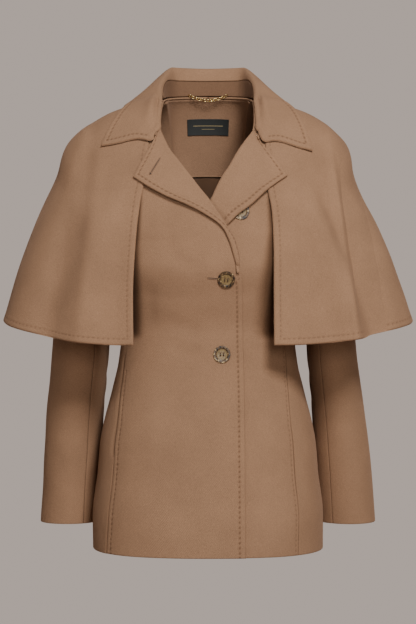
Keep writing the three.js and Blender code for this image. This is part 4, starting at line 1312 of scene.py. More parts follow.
class JacketStage(bpy.types.PropertyGroup):
    """The studio"""

    paper: FloatVectorProperty(
        name="Paper", description="Colour of the floor and the surroundings", subtype="COLOR",
        default=(0.496, 0.421, 0.377), min=0, max=1)
    dimness: FloatProperty(
        name="Dimness", description="Share of the backdrop's light that is left in front of the jacket",
        subtype="FACTOR", default=0.15, min=0, max=1)
    key: FloatProperty(
        name="Key light", description="Power of the main light, high in front", default=74,
        min=0, max=1000, unit="POWER")
    front: FloatProperty(
        name="Front light", description="Power of the soft light by the camera", default=26,
        min=0, max=1000, unit="POWER")
    fill: FloatProperty(
        name="Fill light", description="Power of the light from the wearer's right", default=6,
        min=0, max=1000, unit="POWER")


def outer_wool():
    settings = bpy.context.scene.jacket_cloth
    return wool("Outer wool", settings.wool, settings.nap)


def facing_wool_in_painted_shade():
    # The same wool as outside, in a darker colour that paints the shade inside the neck.
    return wool("Facing wool in painted shade", bpy.context.scene.jacket_cloth.facing, 0.15)


# Body

SEWN_PANEL = {"start": "sewn", "end": "sewn", "foot": "turned", "head": "open"}
RIGHT_FRONT = {**SEWN_PANEL, "start": "stitched", "end": "topstitched"}
LEFT_FRONT = {**SEWN_PANEL, "end": "topstitched"}
SEAM_STITCHES = {-1: {"inset": 7.8, "top": -402, "depth": 1.0}, 1: {"inset": 4.6, "top": -370, "depth": 0.5}}
POCKET_TOP = -383
POCKET_FOOT = -526
POCKET_SUNK = 2.0
POCKET_PAINTED_SHADE = 0.65
SEAM_TURN = 0.07
SHOULDER_LEVEL = 1.998
BODY_STEP = 4.0
BACK_STEP = 4.5

BODY_CREASES = {
    "front_right": table(
        "x y to_x to_y width height bow",
        (-82, -275, -78, -345, 9, -1.6, 3),
        (-60, -225, -5, -262, 12, -1.3, 5),
        (-72, -330, -6, -356, 12, -1.2, -5),
        (-64, -352, 0, -388, 12, -1.0, 5),
        (-70, -420, -78, -560, 17, 1.3, 4),
        (-24, -430, -16, -600, 20, -1.1, -5),
        (-95, -480, -112, -640, 14, -1.2, 4),
    ),
    "front_left": table(
        "x y to_x to_y width height bow",
        (108, -330, 62, -352, 11, -1.4, 4),
        (112, -358, 66, -372, 9, -1.0, -4),
        (82, -415, 88, -560, 16, 1.3, -5),
        (66, -450, 68, -610, 14, -1.0, 4),
    ),
    "back_right": table(
        "x y to_x to_y width height bow",
        (-118, -322, -30, -350, 14, -1.8, 5),
        (-122, -362, -45, -374, 11, -1.4, -5),
        (-105, -398, -35, -392, 10, 1.1, 4),
        (-70, -440, -88, -620, 19, 1.7, 5),
        (-35, -470, -30, -640, 16, -1.3, -4),
        (-110, -150, -60, -240, 16, -1.4, 6),
    ),
    "back_left": table(
        "x y to_x to_y width height bow",
        (122, -328, 25, -342, 13, -1.7, -5),
        (116, -368, 50, -384, 11, -1.3, 4),
        (108, -405, 40, -400, 9, 1.0, -4),
        (64, -445, 80, -630, 20, 1.6, -6),
        (112, -480, 128, -640, 15, -1.3, 4),
        (112, -140, 55, -228, 15, -1.3, -5),
    ),
    "side_front_right": table(
        "x y to_x to_y width height bow",
        (-118, -345, -140, -352, 9, -1.2, 2),
        (-140, -470, -152, -620, 12, 1.2, 3),
    ),
    "side_front_left": table(
        "x y to_x to_y width height bow",
        (110, -350, 134, -342, 9, -1.2, 2),
        (138, -450, 148, -600, 13, 1.2, -3),
    ),
}


def front_cloth(side):
    def between_edges(share, v):
        seam = np.where(v <= 1, SEAM_TURN, 0.3)
        outer = np.where(v > PRINCESS_TOP, 90.0, princess_turn(side, v) - seam)
        return mix(edge_turn(side, v), side * outer, share)

    layer = "over" if side < 0 else "under"
    rows = {"us": (0, 1), "vs": (0, SHOULDER_LEVEL), "along": 0.6, "between": between_edges, "step": 2.4}
    edges = RIGHT_FRONT if side < 0 else LEFT_FRONT
    return Cloth(lambda u, v: cloth_point(layer, u, v), rows, edges, BODY_STEP, side)


def finish_panel(name, panel, settings, seed, still=0.0):
    """Adds a body panel's folds to its finished edges and makes its mesh."""
    panel.chart = panel.points[..., ::2]
    crease(panel, BODY_CREASES[name])
    unevenness(panel, settings.wear * (1 - still), seed)
    cloth_mesh(name + "_cloth", panel, CLOTH, outer_wool(), name)


def by_pocket(place):
    """1 along the pocket's opening in the right princess seam, and 0 past its ends."""
    z = place[..., 2]
    return smooth(POCKET_FOOT - 4, POCKET_FOOT + 4, z) * smooth(POCKET_TOP + 4, POCKET_TOP - 4, z)


def make_body(settings, stitching):
    for word, side in SIDES.items():
        make_front(word, side, settings, stitching)

        def side_turn(share, v):
            outer = np.where(v > 1, 90.0, 90 - SEAM_TURN)
            return mix(side * (princess_turn(side, v) + SEAM_TURN), side * outer, share)

        rows = {"us": (0, 1), "vs": (0, PRINCESS_TOP), "along": 0.5, "between": side_turn}
        panel = Cloth(body_point, rows, SEWN_PANEL, BODY_STEP, side)
        finish_edges(panel, CLOTH, stitching)
        if side < 0:
            panel.relief -= POCKET_SUNK * bell(panel.to["start"], 0, 5) * by_pocket(panel.points)
            # Painted shade along the pocket's opening.
            panel.hollow += POCKET_PAINTED_SHADE * bell(panel.to["start"], 0, 2.5) * by_pocket(panel.points)
        finish_panel(f"side_front_{word}", panel, settings, side + 5)

        first = 180 if side < 0 else 90
        span = (first + SEAM_TURN, first + 90 - SEAM_TURN)
        rows = {"us": span, "vs": (0, SHOULDER_LEVEL), "along": first + 45}
        back = Cloth(body_point, rows, SEWN_PANEL, BACK_STEP, 1)
        finish_edges(back, CLOTH, stitching)
        finish_panel(f"back_{word}", back, settings, side + 8)


# Where the painted shadow lies beside each capelet front edge: its height, the edge's x and the shadow's
# width.
PAINTED_SHADOW_BESIDE_CAPE = {
    -1: table("z edge width", (-365, 108, 18), (-300, 108, 17), (-228, 107, 12), (-142, 98, 6)),
    1: table("z edge width", (-365, 97, 36), (-300, 97, 36), (-240, 97, 22), (-200, 96, 13), (-142, 89, 6)),
}


def paint_shadow_beside_cape(front, side):
    """Paints shadow on the front where it goes under the capelet's front edge, which stands off it."""
    x, z = front.points[..., 0] * side, front.points[..., 2]
    heights, edges, widths = columns(PAINTED_SHADOW_BESIDE_CAPE[side], "z", "edge", "width")
    edge, width = np.interp(z, heights, edges), np.interp(z, heights, widths)
    near = 1 - smooth(0, 1, (edge - x) / width)
    front.hollow += near * smooth(-362, -346, z) * smooth(-120, -165, z)


def make_front(word, side, settings, stitching):
    """A front with the rows of stitches by its edge and its princess seam, and its buttonhole."""
    front = front_cloth(side)
    seam = SEAM_STITCHES[side]
    front.keep["end"] = lambda place: smooth(seam["top"] + 3, seam["top"] - 3, place[..., 2])
    edge = front.to["start"].copy()
    if side < 0:
        front.to["start"] = edge + 30 * smooth(OVER_BREAK - 12, OVER_BREAK + 4, front.points[..., 2])
        front.keep["start"] = lambda place: smooth(OVER_BREAK, OVER_BREAK - 6, place[..., 2])
        puffed = smooth(0, 2, front.to["end"]) * (1 - smooth(6, 14, front.to["end"]))
        front.relief += 0.5 * PUFF * puffed * front.keep["end"](front.points)
    finish_edges(front, CLOTH, stitching)
    press_stitches(front, "end", seam["inset"], stitching, seam["depth"])
    paint_shadow_beside_cape(front, side)
    finish_panel(f"front_{word}", front, settings, side + 2, bell(edge, 0, 30))
    add_stitches(f"front_{word}_seam_stitches", front, "end", stitching, seam["inset"])
    if side < 0:
        front.to["start"] = edge
        add_stitches("front_right_stitches", front, "start", stitching)
        add_buttonhole("middle_buttonhole", front, *BUTTONHOLE_MIDDLE)


# Sleeves

SLEEVE_CREASES = {
    "upper": table(
        "x y to_x to_y width height bow",
        (8, 215, 90, 250, 11, -1.4, 6),
        (4, 250, 70, 270, 9, 1.2, 5),
        (10, 180, 80, 196, 12, -0.9, 5),
        (60, 60, 80, 190, 16, 0.9, 6),
    ),
    "under": table(
        "x y to_x to_y width height bow",
        (80, 220, 10, 240, 10, -1.3, 5),
        (85, 190, 20, 205, 10, -0.9, -5),
    ),
}


def make_sleeves(settings, stitching):
    spans = {"upper": (SLEEVE_FRONT_SEAM + 0.2, SLEEVE_BACK_SEAM - 0.2),
             "under": (SLEEVE_BACK_SEAM - 359.8, SLEEVE_FRONT_SEAM - 0.2)}
    for word, side in SIDES.items():
        for part, span in spans.items():
            rows = {"us": span, "vs": (0, 1.97), "along": sum(span) / 2}
            sleeve = Cloth(lambda u, v: sleeve_point(side, u, v), rows, SEWN_PANEL, 4.0, side)
            finish_edges(sleeve, SLEEVE_CLOTH, stitching)
            crease(sleeve, SLEEVE_CREASES[part])
            unevenness(sleeve, settings.wear * 1.3, side + 11)
            name = f"sleeve_{part}_{word}"
            cloth_mesh(name + "_cloth", sleeve, SLEEVE_CLOTH, outer_wool(), name)


# Capelet

# Folds behind the shoulders lie on the chart this far to the side of those in front.
BEHIND = 1000
CAPE_CREASES = {
    -1: table(
        "x y to_x to_y width height bow",
        (-158, -75, -190, -410, 12, 2.6, 0),
        (-122, -160, -134, -420, 14, -3.0, 4),
        (-200, -130, -248, -420, 17, -3.2, -5),
        (-103, -250, -103, -430, 8, 1.6, 0),
        (-60 + BEHIND, -130, -52 + BEHIND, -420, 18, -3.5, 4),
        (-120 + BEHIND, -100, -138 + BEHIND, -420, 15, 3.4, -5),
        (-190 + BEHIND, -150, -215 + BEHIND, -420, 17, -4.0, 5),
    ),
    1: table(
        "x y to_x to_y width height bow",
        (178, -60, 221, -420, 6, 4.2, 0),
        (204, -90, 256, -430, 18, -9.0, 0),
        (166, -110, 190, -420, 15, -2.2, 3),
        (120, -190, 113, -420, 12, 1.6, 4),
        (48 + BEHIND, -140, 40 + BEHIND, -420, 17, 3.0, 5),
        (104 + BEHIND, -110, 112 + BEHIND, -420, 16, -4.0, -4),
        (170 + BEHIND, -130, 196 + BEHIND, -420, 15, 3.2, 5),
    ),
}
CAPE_EDGES = {"start": "stitched", "end": "sewn", "foot": "open", "head": "stitched"}


def cape_cloth(side):
    rows = {"us": (0, CAPE_PARTS[-1]), "vs": (0, 1), "along": 0.0, "step": 2.6}
    return Cloth(cape_surface(side), rows, CAPE_EDGES, 2.6, -side)


def make_cape(cloth_settings, stitching):
    for word, side in SIDES.items():
        cape = cape_cloth(side)
        cape.depth = 0.5
        finish_edges(cape, CAPE_CLOTH, stitching)
        behind = BEHIND * (cape.points[..., 1] > 25)
        cape.chart = np.stack([cape.points[..., 0] + behind, cape.points[..., 2]], axis=-1)
        crease(cape, CAPE_CREASES[side])
        unevenness(cape, cloth_settings.wear, side + 15)
        cloth_mesh(f"cape_{word}_cloth", cape, CAPE_CLOTH, outer_wool(), f"cape_{word}")
        for edge in ("start", "head"):
            add_stitches(f"cape_{word}_{edge}_stitches", cape, edge, stitching)


# Lapels and collar

LAPEL_EDGES = {"start": "open", "end": "stitched", "foot": "turned", "head": "open"}
COLLAR_EDGES = {"start": "sewn", "end": "stitched", "foot": "stitched", "head": "stitched"}
LAPEL_UNDER_COLLAR = 1.03
LAPEL_TUCK = {"depth": 4.0, "reach": 16}
LAPEL_SINKS = {"head": {"depth": 3.0, "reach": 7}, "foot": {"depth": 1.7, "reach": 22}}
GORGE_SINK = {"depth": 2.2, "reach": 9}
STAND_PAINTED_SHADE = 0.35
NOTCH_X = 84


def sunk_by(sink, distance):
    """How deep the cloth is sunk at a distance from its edge."""
    return sink["depth"] * (1 - smooth(0, sink["reach"], distance))


def make_lapels(cloth_settings, stitching):
    """Lapels that run on a little under the collar and sink into the front at their foot."""
    for word, side in SIDES.items():
        rows = {"us": (0, 1), "vs": (0, LAPEL_UNDER_COLLAR), "along": 1.0, "step": 2.0}
        lapel = Cloth(lapel_surface(side), rows, LAPEL_EDGES, 2.6, side)
        finish_edges(lapel, LAPEL_CLOTH, stitching)
        lapel.points -= lapel.out * sunk_by(LAPEL_TUCK, lapel.to["foot"])[..., None]
        shown = lapel.out[..., 1] < 0
        for end, sink in LAPEL_SINKS.items():
            lapel.relief -= sunk_by(sink, lapel.to[end]) * shown
        unevenness(lapel, cloth_settings.wear * 0.4, side + 30)
        cloth_mesh(f"lapel_{word}_cloth", lapel, LAPEL_CLOTH, outer_wool(), f"lapel_{word}")
        add_stitches(f"lapel_{word}_stitches", lapel, "end", stitching)
        if side < 0:
            add_buttonhole("lapel_buttonhole", lapel, *BUTTONHOLE_LAPEL, eyelet=True)


def make_collar(cloth_settings, stitching):
    rows = {"us": (0, 1), "vs": (COLLAR_START, 1 - COLLAR_START), "along": 1.0, "step": 2.4}
    collar = Cloth(collar_surface(), rows, COLLAR_EDGES, 3.0, -1)
    for edge in ("foot", "head"):
        collar.keep[edge] = lambda place: smooth(NOTCH_X + 2, NOTCH_X + 6, np.abs(place[..., 0]))
    finish_edges(collar, COLLAR_CLOTH, stitching)
    for edge in ("foot", "head"):
        joined = 1 - collar.keep[edge](collar.points)
        collar.relief -= joined * sunk_by(GORGE_SINK, collar.to[edge])
    unevenness(collar, cloth_settings.wear * 0.5, 21)
    cloth_mesh("collar_cloth", collar, COLLAR_CLOTH, outer_wool(), "collar")
    for edge in ("end", "foot", "head"):
        add_stitches(f"collar_{edge}_stitches", collar, edge, stitching)
    rows = {"us": (0, 1), "vs": (0.24, 0.76), "along": 0.5}
    edges = {"start": "sewn", "end": "sewn", "foot": "open", "head": "open"}
    stand = Cloth(stand_point, rows, edges, 3.0, -1)
    finish_edges(stand, STAND_CLOTH, stitching)
    # Painted shade over the whole stand, which lies under the collar's roll.
    stand.hollow += STAND_PAINTED_SHADE
    cloth_mesh("collar_stand_cloth", stand, STAND_CLOTH, facing_wool_in_painted_shade(), "collar_stand")


# Stitches

THREAD_RADIUS = 0.42
THREAD_SUNK = 0.1
STITCH_RINGS = table("share height size", (-1, -1.1, 0.5), (-0.72, -0.25, 0.9), (-0.25, 0.0, 1.0),
                     (0.25, 0.0, 1.0), (0.72, -0.25, 0.9), (1, -1.1, 0.5))
STITCH_SIDES = 6
CORD_SIDES = 12


def tube_faces(rings, sides):
    """The faces of a tube of rings, with its two ends closed."""
    faces = []
    for ring in range(rings - 1):
        for k in range(sides):
            a, b = ring * sides + k, ring * sides + (k + 1) % sides
            faces.append((a, b, b + sides, a + sides))
    last = (rings - 1) * sides
    return faces + [tuple(range(sides))[::-1], tuple(range(last, last + sides))]


def rings_round(aside, out, sides):
    """The directions from each of a tube's centres to the places of its ring."""
    angles = np.linspace(0, 2 * math.pi, sides, endpoint=False)[:, None]
    return np.cos(angles) * aside[..., None, :] + np.sin(angles) * out[..., None, :]


def tubes(name, centres, aside, out, size, material):
    """Short closed tubes, one for each row of centres, joined in one mesh."""
    count, rings = centres.shape[:2]
    around = rings_round(aside, out, STITCH_SIDES)
    vertices = centres[:, :, None] + around * size[None, :, None, None]
    each = rings * STITCH_SIDES
    one = tube_faces(rings, STITCH_SIDES)
    mesh = bpy.data.meshes.new(name)
    faces = [tuple(i + each * k for i in face) for k in range(count) for face in one]
    mesh.from_pydata((vertices.reshape(-1, 3) * MM).tolist(), [], faces)
    return add_smooth(name, mesh, material)


def edge_line(cloth, edge, inset):
    """The line along an edge at a distance from it on the finished face, and the directions out."""
    axis, _ = ENDS[edge]
    distance, grid, out = cloth.to[edge], cloth.face(), cloth.out
    if not axis:
        distance, grid, out = distance.T, grid.swapaxes(0, 1), out.swapaxes(0, 1)
    line, outs = [], []
    for row, place, direction in zip(distance, grid, out):
        order = np.argsort(row)
        line.append([np.interp(inset, row[order], place[order, k]) for k in range(3)])
        outs.append([np.interp(inset, row[order], direction[order, k]) for k in range(3)])
    return np.array(line), unit(np.array(outs))


def along_line(run, line, at):
    return np.stack([np.interp(at, run, line[:, k]) for k in range(3)], axis=-1)


def add_stitches(name, cloth, edge, stitching, inset=STITCH_INSET):
    """A row of pick stitches, each lying in its dimple."""
    line, outs = edge_line(cloth, edge, inset)
    run = cloth.run(edge).ravel()
    middles = np.arange(1, int(run[-1] / stitching.pitch)) * stitching.pitch
    ends = [cloth.to[other] for other in other_stitched(cloth, edge)]
    if ends:
        axis, at = ENDS[edge]
        room = np.minimum.reduce([end[:, at] if axis else end[at] for end in ends])
        middles = middles[np.interp(middles, run, room) > STITCH_INSET - 1]
    if edge in cloth.keep:
        middles = middles[cloth.keep[edge](along_line(run, line, middles)) > 0.6]
    share, height, size = columns(STITCH_RINGS, "share", "height", "size")
    half = stitching.length / 2
    ends = along_line(run, line, middles[:, None] + np.array([-half, half]))
    centre = along_line(run, line, middles)[:, None] + (ends[:, 1:] - ends[:, :1]) * share[None, :, None] / 2
    out = np.broadcast_to(unit(along_line(run, outs, middles))[:, None], centre.shape)
    aside = unit(np.cross(out, unit(np.gradient(centre, axis=1))))
    centre = centre + out * (height - THREAD_SUNK)[None, :, None]
    # The dark thread colour carries painted shade for each stitch's dimple.
    material = plain_thread("Pick stitch thread", stitching.thread)
    piece = tubes(name, centre, aside, out, size * THREAD_RADIUS, material)
    declare(piece, None)


# Inside the neck

def make_neck_lining(cloth_settings):
    sewn = {"start": "open", "end": "open", "foot": "sewn", "head": "open"}
    rows = {"us": FACING_TURNS, "vs": (FACING_LEVEL, FACING_TOP), "along": 178.0}
    facing = Cloth(lambda u, v: inside_back(u, v, UNDER_BACK), rows, sewn, 3.0, 1)
    cloth_mesh("back_facing_cloth", facing, LINING_CLOTH, facing_wool_in_painted_shade(), "back_facing")

    def pleated(u, v):
        return inside_back(u, v, UNDER_BACK + PLEAT_HEIGHT * bell(u, 180, PLEAT_TURN))

    level = (LINING_HEM - HEM) / (UNDERARM - HEM)
    rows = {"us": FACING_TURNS, "vs": (level, FACING_LEVEL - 0.001), "along": 178.0}
    lining = Cloth(pleated, rows, {**sewn, "foot": "turned", "head": "sewn"}, 4.0, 1)
    material = satin("Satin lining", cloth_settings.lining)
    cloth_mesh("back_lining_cloth", lining, LINING_CLOTH, material, "back_lining")

    turns = np.linspace(140, 220, 90)
    path = inside_back(turns, np.full(90, FACING_LEVEL), np.full(90, PLEATED + 6 * SEAM + PIPING_RADIUS))
    piece = long_tube("facing_piping_cord", path, PIPING_RADIUS, outer_wool())
    declare(piece, "facing_piping")
    make_label(cloth_settings)


def long_tube(name, path, radius, material, up=(0, 0, 1.0)):
    """A closed tube along a path that never runs along up."""
    along = unit(np.gradient(path, axis=0))
    aside = unit(np.cross(along, up))
    out = np.cross(aside, along)
    around = rings_round(aside, out, CORD_SIDES)
    vertices = (path[:, None] + around * radius).reshape(-1, 3) * MM
    mesh = bpy.data.meshes.new(name)
    mesh.from_pydata(vertices.tolist(), [], tube_faces(len(path), CORD_SIDES))
    return add_smooth(name, mesh, material)


def make_label(cloth_settings):
    depth = PLEATED + 2.5 * SEAM
    top = float(back_level(LABEL_TOP))
    base = float(back_level(LABEL_TOP - LABEL_HEIGHT))

    def inside_edge(turn):
        return LABEL_WIDTH / 2 - inside_back(turn, top, depth)[..., 0]

    half = 180 - float(solve(inside_edge, 90.0, 180.0))
    rows = {"us": (180 - half, 180 + half), "vs": (base, top), "along": 180.0}
    edges = dict.fromkeys(ENDS, "turned")
    label = Cloth(lambda u, v: inside_back(u, v, depth), rows, edges, 2.0, 1)
    material = woven_label("Woven label", cloth_settings.label, cloth_settings.rules)
    cloth_mesh("label_cloth", label, LABEL_THICK, material, "label")


# Buttonholes

BUTTONHOLE_MIDDLE = ((19, -271), (0, -269.5))
BUTTONHOLE_LAPEL = ((-69, -96), (-82, -118))
LIP_ASIDE = 0.95
LIP_LIFT = 0.1
LIP_REACH = 0.6
LIP_RADIUS = 0.7
SLIT_LIFT = 0.05
SLIT_RADIUS = 0.3
EYELET_RADIUS = 1.7
EYELET_LIFT = 0.2
EYELET_CORD = 0.6
EYELET_HOLE = 1.35


def on_face(cloth, x, z):
    """The place on a cloth's finished face over one x and z, and the direction out."""
    front = cloth.out[..., 1] < -0.2
    gap = (cloth.points[..., 0] - x) ** 2 + (cloth.points[..., 2] - z) ** 2
    near = np.argsort(np.where(front, gap, np.inf), axis=None)[:4]
    share = 1 / (gap.ravel()[near] + 0.1)
    share = (share / share.sum())[:, None]
    place = (cloth.face().reshape(-1, 3)[near] * share).sum(0)
    return np.array([x, place[1], z]), unit((cloth.out.reshape(-1, 3)[near] * share).sum(0))


def add_buttonhole(name, cloth, start, end, eyelet=False):
    """A worked buttonhole: two lips of close stitches with a near-black slit between them, a painted shadow
    in the cut.
    """
    start, end = np.array(start, float), np.array(end, float)
    along = (end - start) / np.hypot(*(end - start))
    aside = np.array([-along[1], along[0]])
    lips = plain_thread("Buttonhole thread", (0.23, 0.125, 0.068))
    # Near-black: painted shadow in the slit and in the eyelet's hole.
    slit = plain_thread("Buttonhole slit shadow", (0.018, 0.011, 0.008))

    def line(off, lift, reach=0.0):
        """Places beside the slit, lifted off the cloth and drawn together at the ends."""
        found = []
        for share in np.linspace(0, 1, 14):
            closed = np.sqrt(np.maximum(1 - (2 * share - 1) ** 8, 0))
            spot = start + (end - start) * share + along * reach * (2 * share - 1) + aside * off * closed
            place, out = on_face(cloth, *spot)
            found.append(place + out * lift)
        return np.array(found)

    _, out = on_face(cloth, *(start + end) / 2)
    parts = [
        long_tube(name + "_lip_above", line(LIP_ASIDE, LIP_LIFT, LIP_REACH), LIP_RADIUS, lips, out),
        long_tube(name + "_lip_below", line(-LIP_ASIDE, LIP_LIFT, LIP_REACH), LIP_RADIUS, lips, out),
        long_tube(name + "_slit", line(0, SLIT_LIFT), SLIT_RADIUS, slit, out),
    ]
    if eyelet:
        centre, out = on_face(cloth, *(end + along * 1.0))
        side = unit(np.cross(out, [0, 0, 1.0]))
        up = np.cross(side, out)
        angles = np.linspace(0, 2 * math.pi, 25)[:, None]
        ring = centre + out * EYELET_LIFT + EYELET_RADIUS * (np.cos(angles) * side + np.sin(angles) * up)
        parts.append(long_tube(name + "_eyelet", ring, EYELET_CORD, lips, out))
        # A near-black plug stands for the shadow inside the eyelet's hole.
        hole = centre + out * np.linspace(-0.4, 0.35, 3)[:, None]
        parts.append(long_tube(name + "_hole", hole, EYELET_HOLE, slit, side))
    for piece in parts:
        declare(piece, None)


# Buttons

BUTTON_THICK = 2.8
BUTTON_ROUND = 0.55
DISHING = table("inset depth", (1.2, 0.0), (2.4, 0.0), (1.0, -0.75), (3.0, -0.12))
HOLE_SPACING = 2.2
HOLE_RADIUS = 1.25


def deselect():
    bpy.ops.object.select_all(action="DESELECT")


def upright_cylinder(sides, radius, depth, x, y, z):
    """A new cylinder standing along +Z, in millimetres."""
    deselect()
    bpy.ops.mesh.primitive_cylinder_add(
        vertices=sides, radius=radius * MM, depth=depth * MM, location=(x * MM, y * MM, z * MM))
    return bpy.context.object


def make_button_blank(radius):
    """A horn button, its face along +Z: a turned disc with a raised rim and a dished middle."""
    blank = upright_cylinder(64, radius, BUTTON_THICK, 0, 0, BUTTON_THICK / 2)
    bpy.ops.object.mode_set(mode="EDIT")
    bpy.ops.mesh.select_all(action="DESELECT")
    bpy.ops.mesh.select_mode(type="FACE")
    bpy.ops.object.mode_set(mode="OBJECT")
    for face in blank.data.polygons:
        face.select = face.normal.z > 0.9
    bpy.ops.object.mode_set(mode="EDIT")
    for step in DISHING:
        bpy.ops.mesh.inset(thickness=step["inset"] * MM, depth=step["depth"] * MM)
    bpy.ops.object.mode_set(mode="OBJECT")
    bevel = blank.modifiers.new("Round", "BEVEL")
    bevel.width = BUTTON_ROUND * MM
    bevel.segments = 4
    bevel.limit_method = "ANGLE"
    bevel.angle_limit = math.radians(25)
    bpy.ops.object.modifier_apply(modifier="Round")
    for across, up in ((1, 1), (-1, 1), (-1, -1), (1, -1)):
        drill(blank, across * HOLE_SPACING, up * HOLE_SPACING, HOLE_RADIUS)
    deselect()
    blank.select_set(True)
    bpy.context.view_layer.objects.active = blank
    bpy.ops.object.shade_smooth_by_angle(angle=math.radians(40))
    return blank


def drill(blank, x, y, radius):
    bit = upright_cylinder(20, radius, 12, x, y, 0)
    hole = blank.modifiers.new("Hole", "BOOLEAN")
    hole.object = bit
    hole.operation = "DIFFERENCE"
    hole.solver = "EXACT"
    deselect()
    bpy.context.view_layer.objects.active = blank
    bpy.ops.object.modifier_apply(modifier="Hole")
    bpy.data.objects.remove(bit)


BUTTON_THREAD = table(
    "share height",
    (-1, 0.6), (-0.93, 1.6), (-0.6, 2.15), (0.6, 2.15), (0.93, 1.6), (1, 0.6),
)
BUTTON_THREAD_RADIUS = 0.3
THREAD_ASIDE = 0.3


def make_buttons(settings):
    blank = make_button_blank(settings.radius)
    material = tortoiseshell("Tortoiseshell", settings.dark, settings.middle, settings.light, settings.centre)
    blank.data.materials.clear()
    blank.data.materials.append(material)
    rim = blank.data.attributes.new("rim", "FLOAT", "POINT")
    away = [math.hypot(vertex.co.x, vertex.co.y) / (settings.radius * MM) for vertex in blank.data.vertices]
    rim.data.foreach_set("value", away)
    for name, place in zip(BUTTON_NAMES, BUTTONS):
        turn, level = place_on_front(place["x"], place["z"])
        out = cloth_normal(place["layer"], turn, level)
        seat = cloth_point(place["layer"], turn, level) + out * BUTTON_SEAT
        turned = Vector((0, 0, 1)).rotation_difference(Vector(out)).to_matrix().to_4x4()
        matrix = Matrix.Translation(Vector(seat * MM)) @ turned
        button = link_new(name + "_horn", blank.data.copy())
        button.data.transform(matrix)
        declare(button, name)
        add_button_thread(name + "_thread", matrix)
    bpy.data.objects.remove(blank)


def add_button_thread(name, matrix):
    """Two pairs of threads, each from a lower hole up to the one above it, sunk at their ends."""
    centres, aside, out = [], [], []
    turn = np.array(matrix.to_3x3())
    shift = np.array(matrix.translation) / MM
    share, height = columns(BUTTON_THREAD, "share", "height")
    rings = len(share)
    for x in (-HOLE_SPACING, HOLE_SPACING):
        for offset in (-THREAD_ASIDE, THREAD_ASIDE):
            path = np.stack([np.full(rings, x + offset), HOLE_SPACING * share, height], axis=-1)
            centres.append(path @ turn.T + shift)
            aside.append(np.tile(turn @ np.array([1.0, 0, 0]), (rings, 1)))
            out.append(np.tile(turn @ np.array([0, 0, 1.0]), (rings, 1)))
    material = plain_thread("Button thread", (0.07, 0.04, 0.022))
    sizes = np.full(rings, BUTTON_THREAD_RADIUS)
    piece = tubes(name, np.array(centres), np.array(aside), np.array(out), sizes, material)
    declare(piece, None)


# Hanger chain

CHAIN_LINKS = 13
LINK_RADIUS = 2.26
LINK_WIRE = 0.5
LINK_STRETCH = 1.28
LINK_TURNS = (-35, 55)


def make_chain():
    """Oval links, each turned a quarter from the last and hanging in it."""
    deselect()
    bpy.ops.mesh.primitive_torus_add(
        major_radius=LINK_RADIUS * MM, minor_radius=LINK_WIRE * MM, major_segments=20, minor_segments=8)
    blank = bpy.context.object
    blank.data.transform(Matrix.Diagonal((LINK_STRETCH, 1, 1, 1)))
    material = gold("Gold chain", (0.95, 0.70, 0.30))
    blank.data.materials.append(material)
    made = []
    for i in range(CHAIN_LINKS):
        share = mix(-1, 1, i / (CHAIN_LINKS - 1))
        link = link_new(f"link_{i}", blank.data.copy())
        tilt = Matrix.Rotation(-math.atan2(2 * CHAIN_SAG * share, CHAIN_HALF), 4, "Y")
        roll = Matrix.Rotation(math.radians(LINK_TURNS[i % 2]), 4, "X")
        place = Vector((CHAIN_HALF * share, CHAIN_Y, CHAIN_TOP - CHAIN_SAG * (1 - share * share))) * MM
        link.data.transform(Matrix.Translation(place) @ tilt @ roll)
        made.append(link)
    bpy.data.objects.remove(blank)
    deselect()
    for link in made:
        link.select_set(True)
    bpy.context.view_layer.objects.active = made[0]
    bpy.ops.object.join()
    chain = bpy.context.object
    chain.name = "hanger_chain_links"
    chain.data.polygons.foreach_set("use_smooth", [True] * len(chain.data.polygons))
    declare(chain, "hanger_chain")


# Stage

EYE_Y = -2.67
EYE_Z = -0.318
LENS = 102.69
FLOOR_Z = -1.4


def add_light(name, place, target, size, power):
    data = bpy.data.lights.new(name, "AREA")
    data.shape = "SQUARE"
    data.size = size
    data.energy = power
    lamp = link_new(name, data)
    lamp.location = place
    lamp.rotation_mode = "QUATERNION"
    lamp.rotation_quaternion = (Vector(target) - Vector(place)).to_track_quat("-Z", "Y")


def light_backdrop(tree, settings):
    """A backdrop that is fully lit behind the jacket and dim in front of it."""
    nodes, links = tree.nodes, tree.links
    place = add_node(nodes, "TexCoord")
    toward = add_node(nodes, "SeparateXYZ")
    links.new(place.outputs["Generated"], toward.inputs["Vector"])
    dim, full = shades(settings.paper, settings.dimness, 1.0)
    shade = ramp(nodes, links, toward.outputs["Y"], [(0.1, dim), (0.75, full)])
    links.new(shade, nodes["Background"].inputs["Color"])


def make_stage(settings):
    deselect()
    bpy.ops.mesh.primitive_plane_add(size=6, location=(0, 0, FLOOR_Z))
    floor = bpy.context.object
    floor.name = "floor"
    floor.data.materials.append(studio_paper("Studio paper", settings.paper))
    world = bpy.data.worlds.new("Studio")
    world.use_nodes = True
    light_backdrop(world.node_tree, settings)
    bpy.context.scene.world = world
    add_light("key", (0.6, -2.2, 1.5), (0, 0, -0.3), 0.7, settings.key)
    add_light("front", (0.6, -3.1, 0.2), (0, 0, -0.3), 1.0, settings.front)
    add_light("fill", (-2.2, -1.8, 0.5), (0, 0, -0.35), 1.6, settings.fill)
    camera = link_new("camera", bpy.data.cameras.new("camera"))
    camera.data.lens = LENS
    camera.location = (0, EYE_Y, EYE_Z)
    camera.rotation_euler = (math.radians(90), 0, 0)
    bpy.context.scene.camera = camera


# Operators

class JACKET_OT_stage(bpy.types.Operator):
    """Set the floor, the lights and the camera"""

    bl_idname = "jacket.stage"
    bl_label = "Stage"
    bl_options = {"REGISTER", "UNDO"}

    def execute(self, context):
        make_stage(context.scene.jacket_stage)
        return {"FINISHED"}


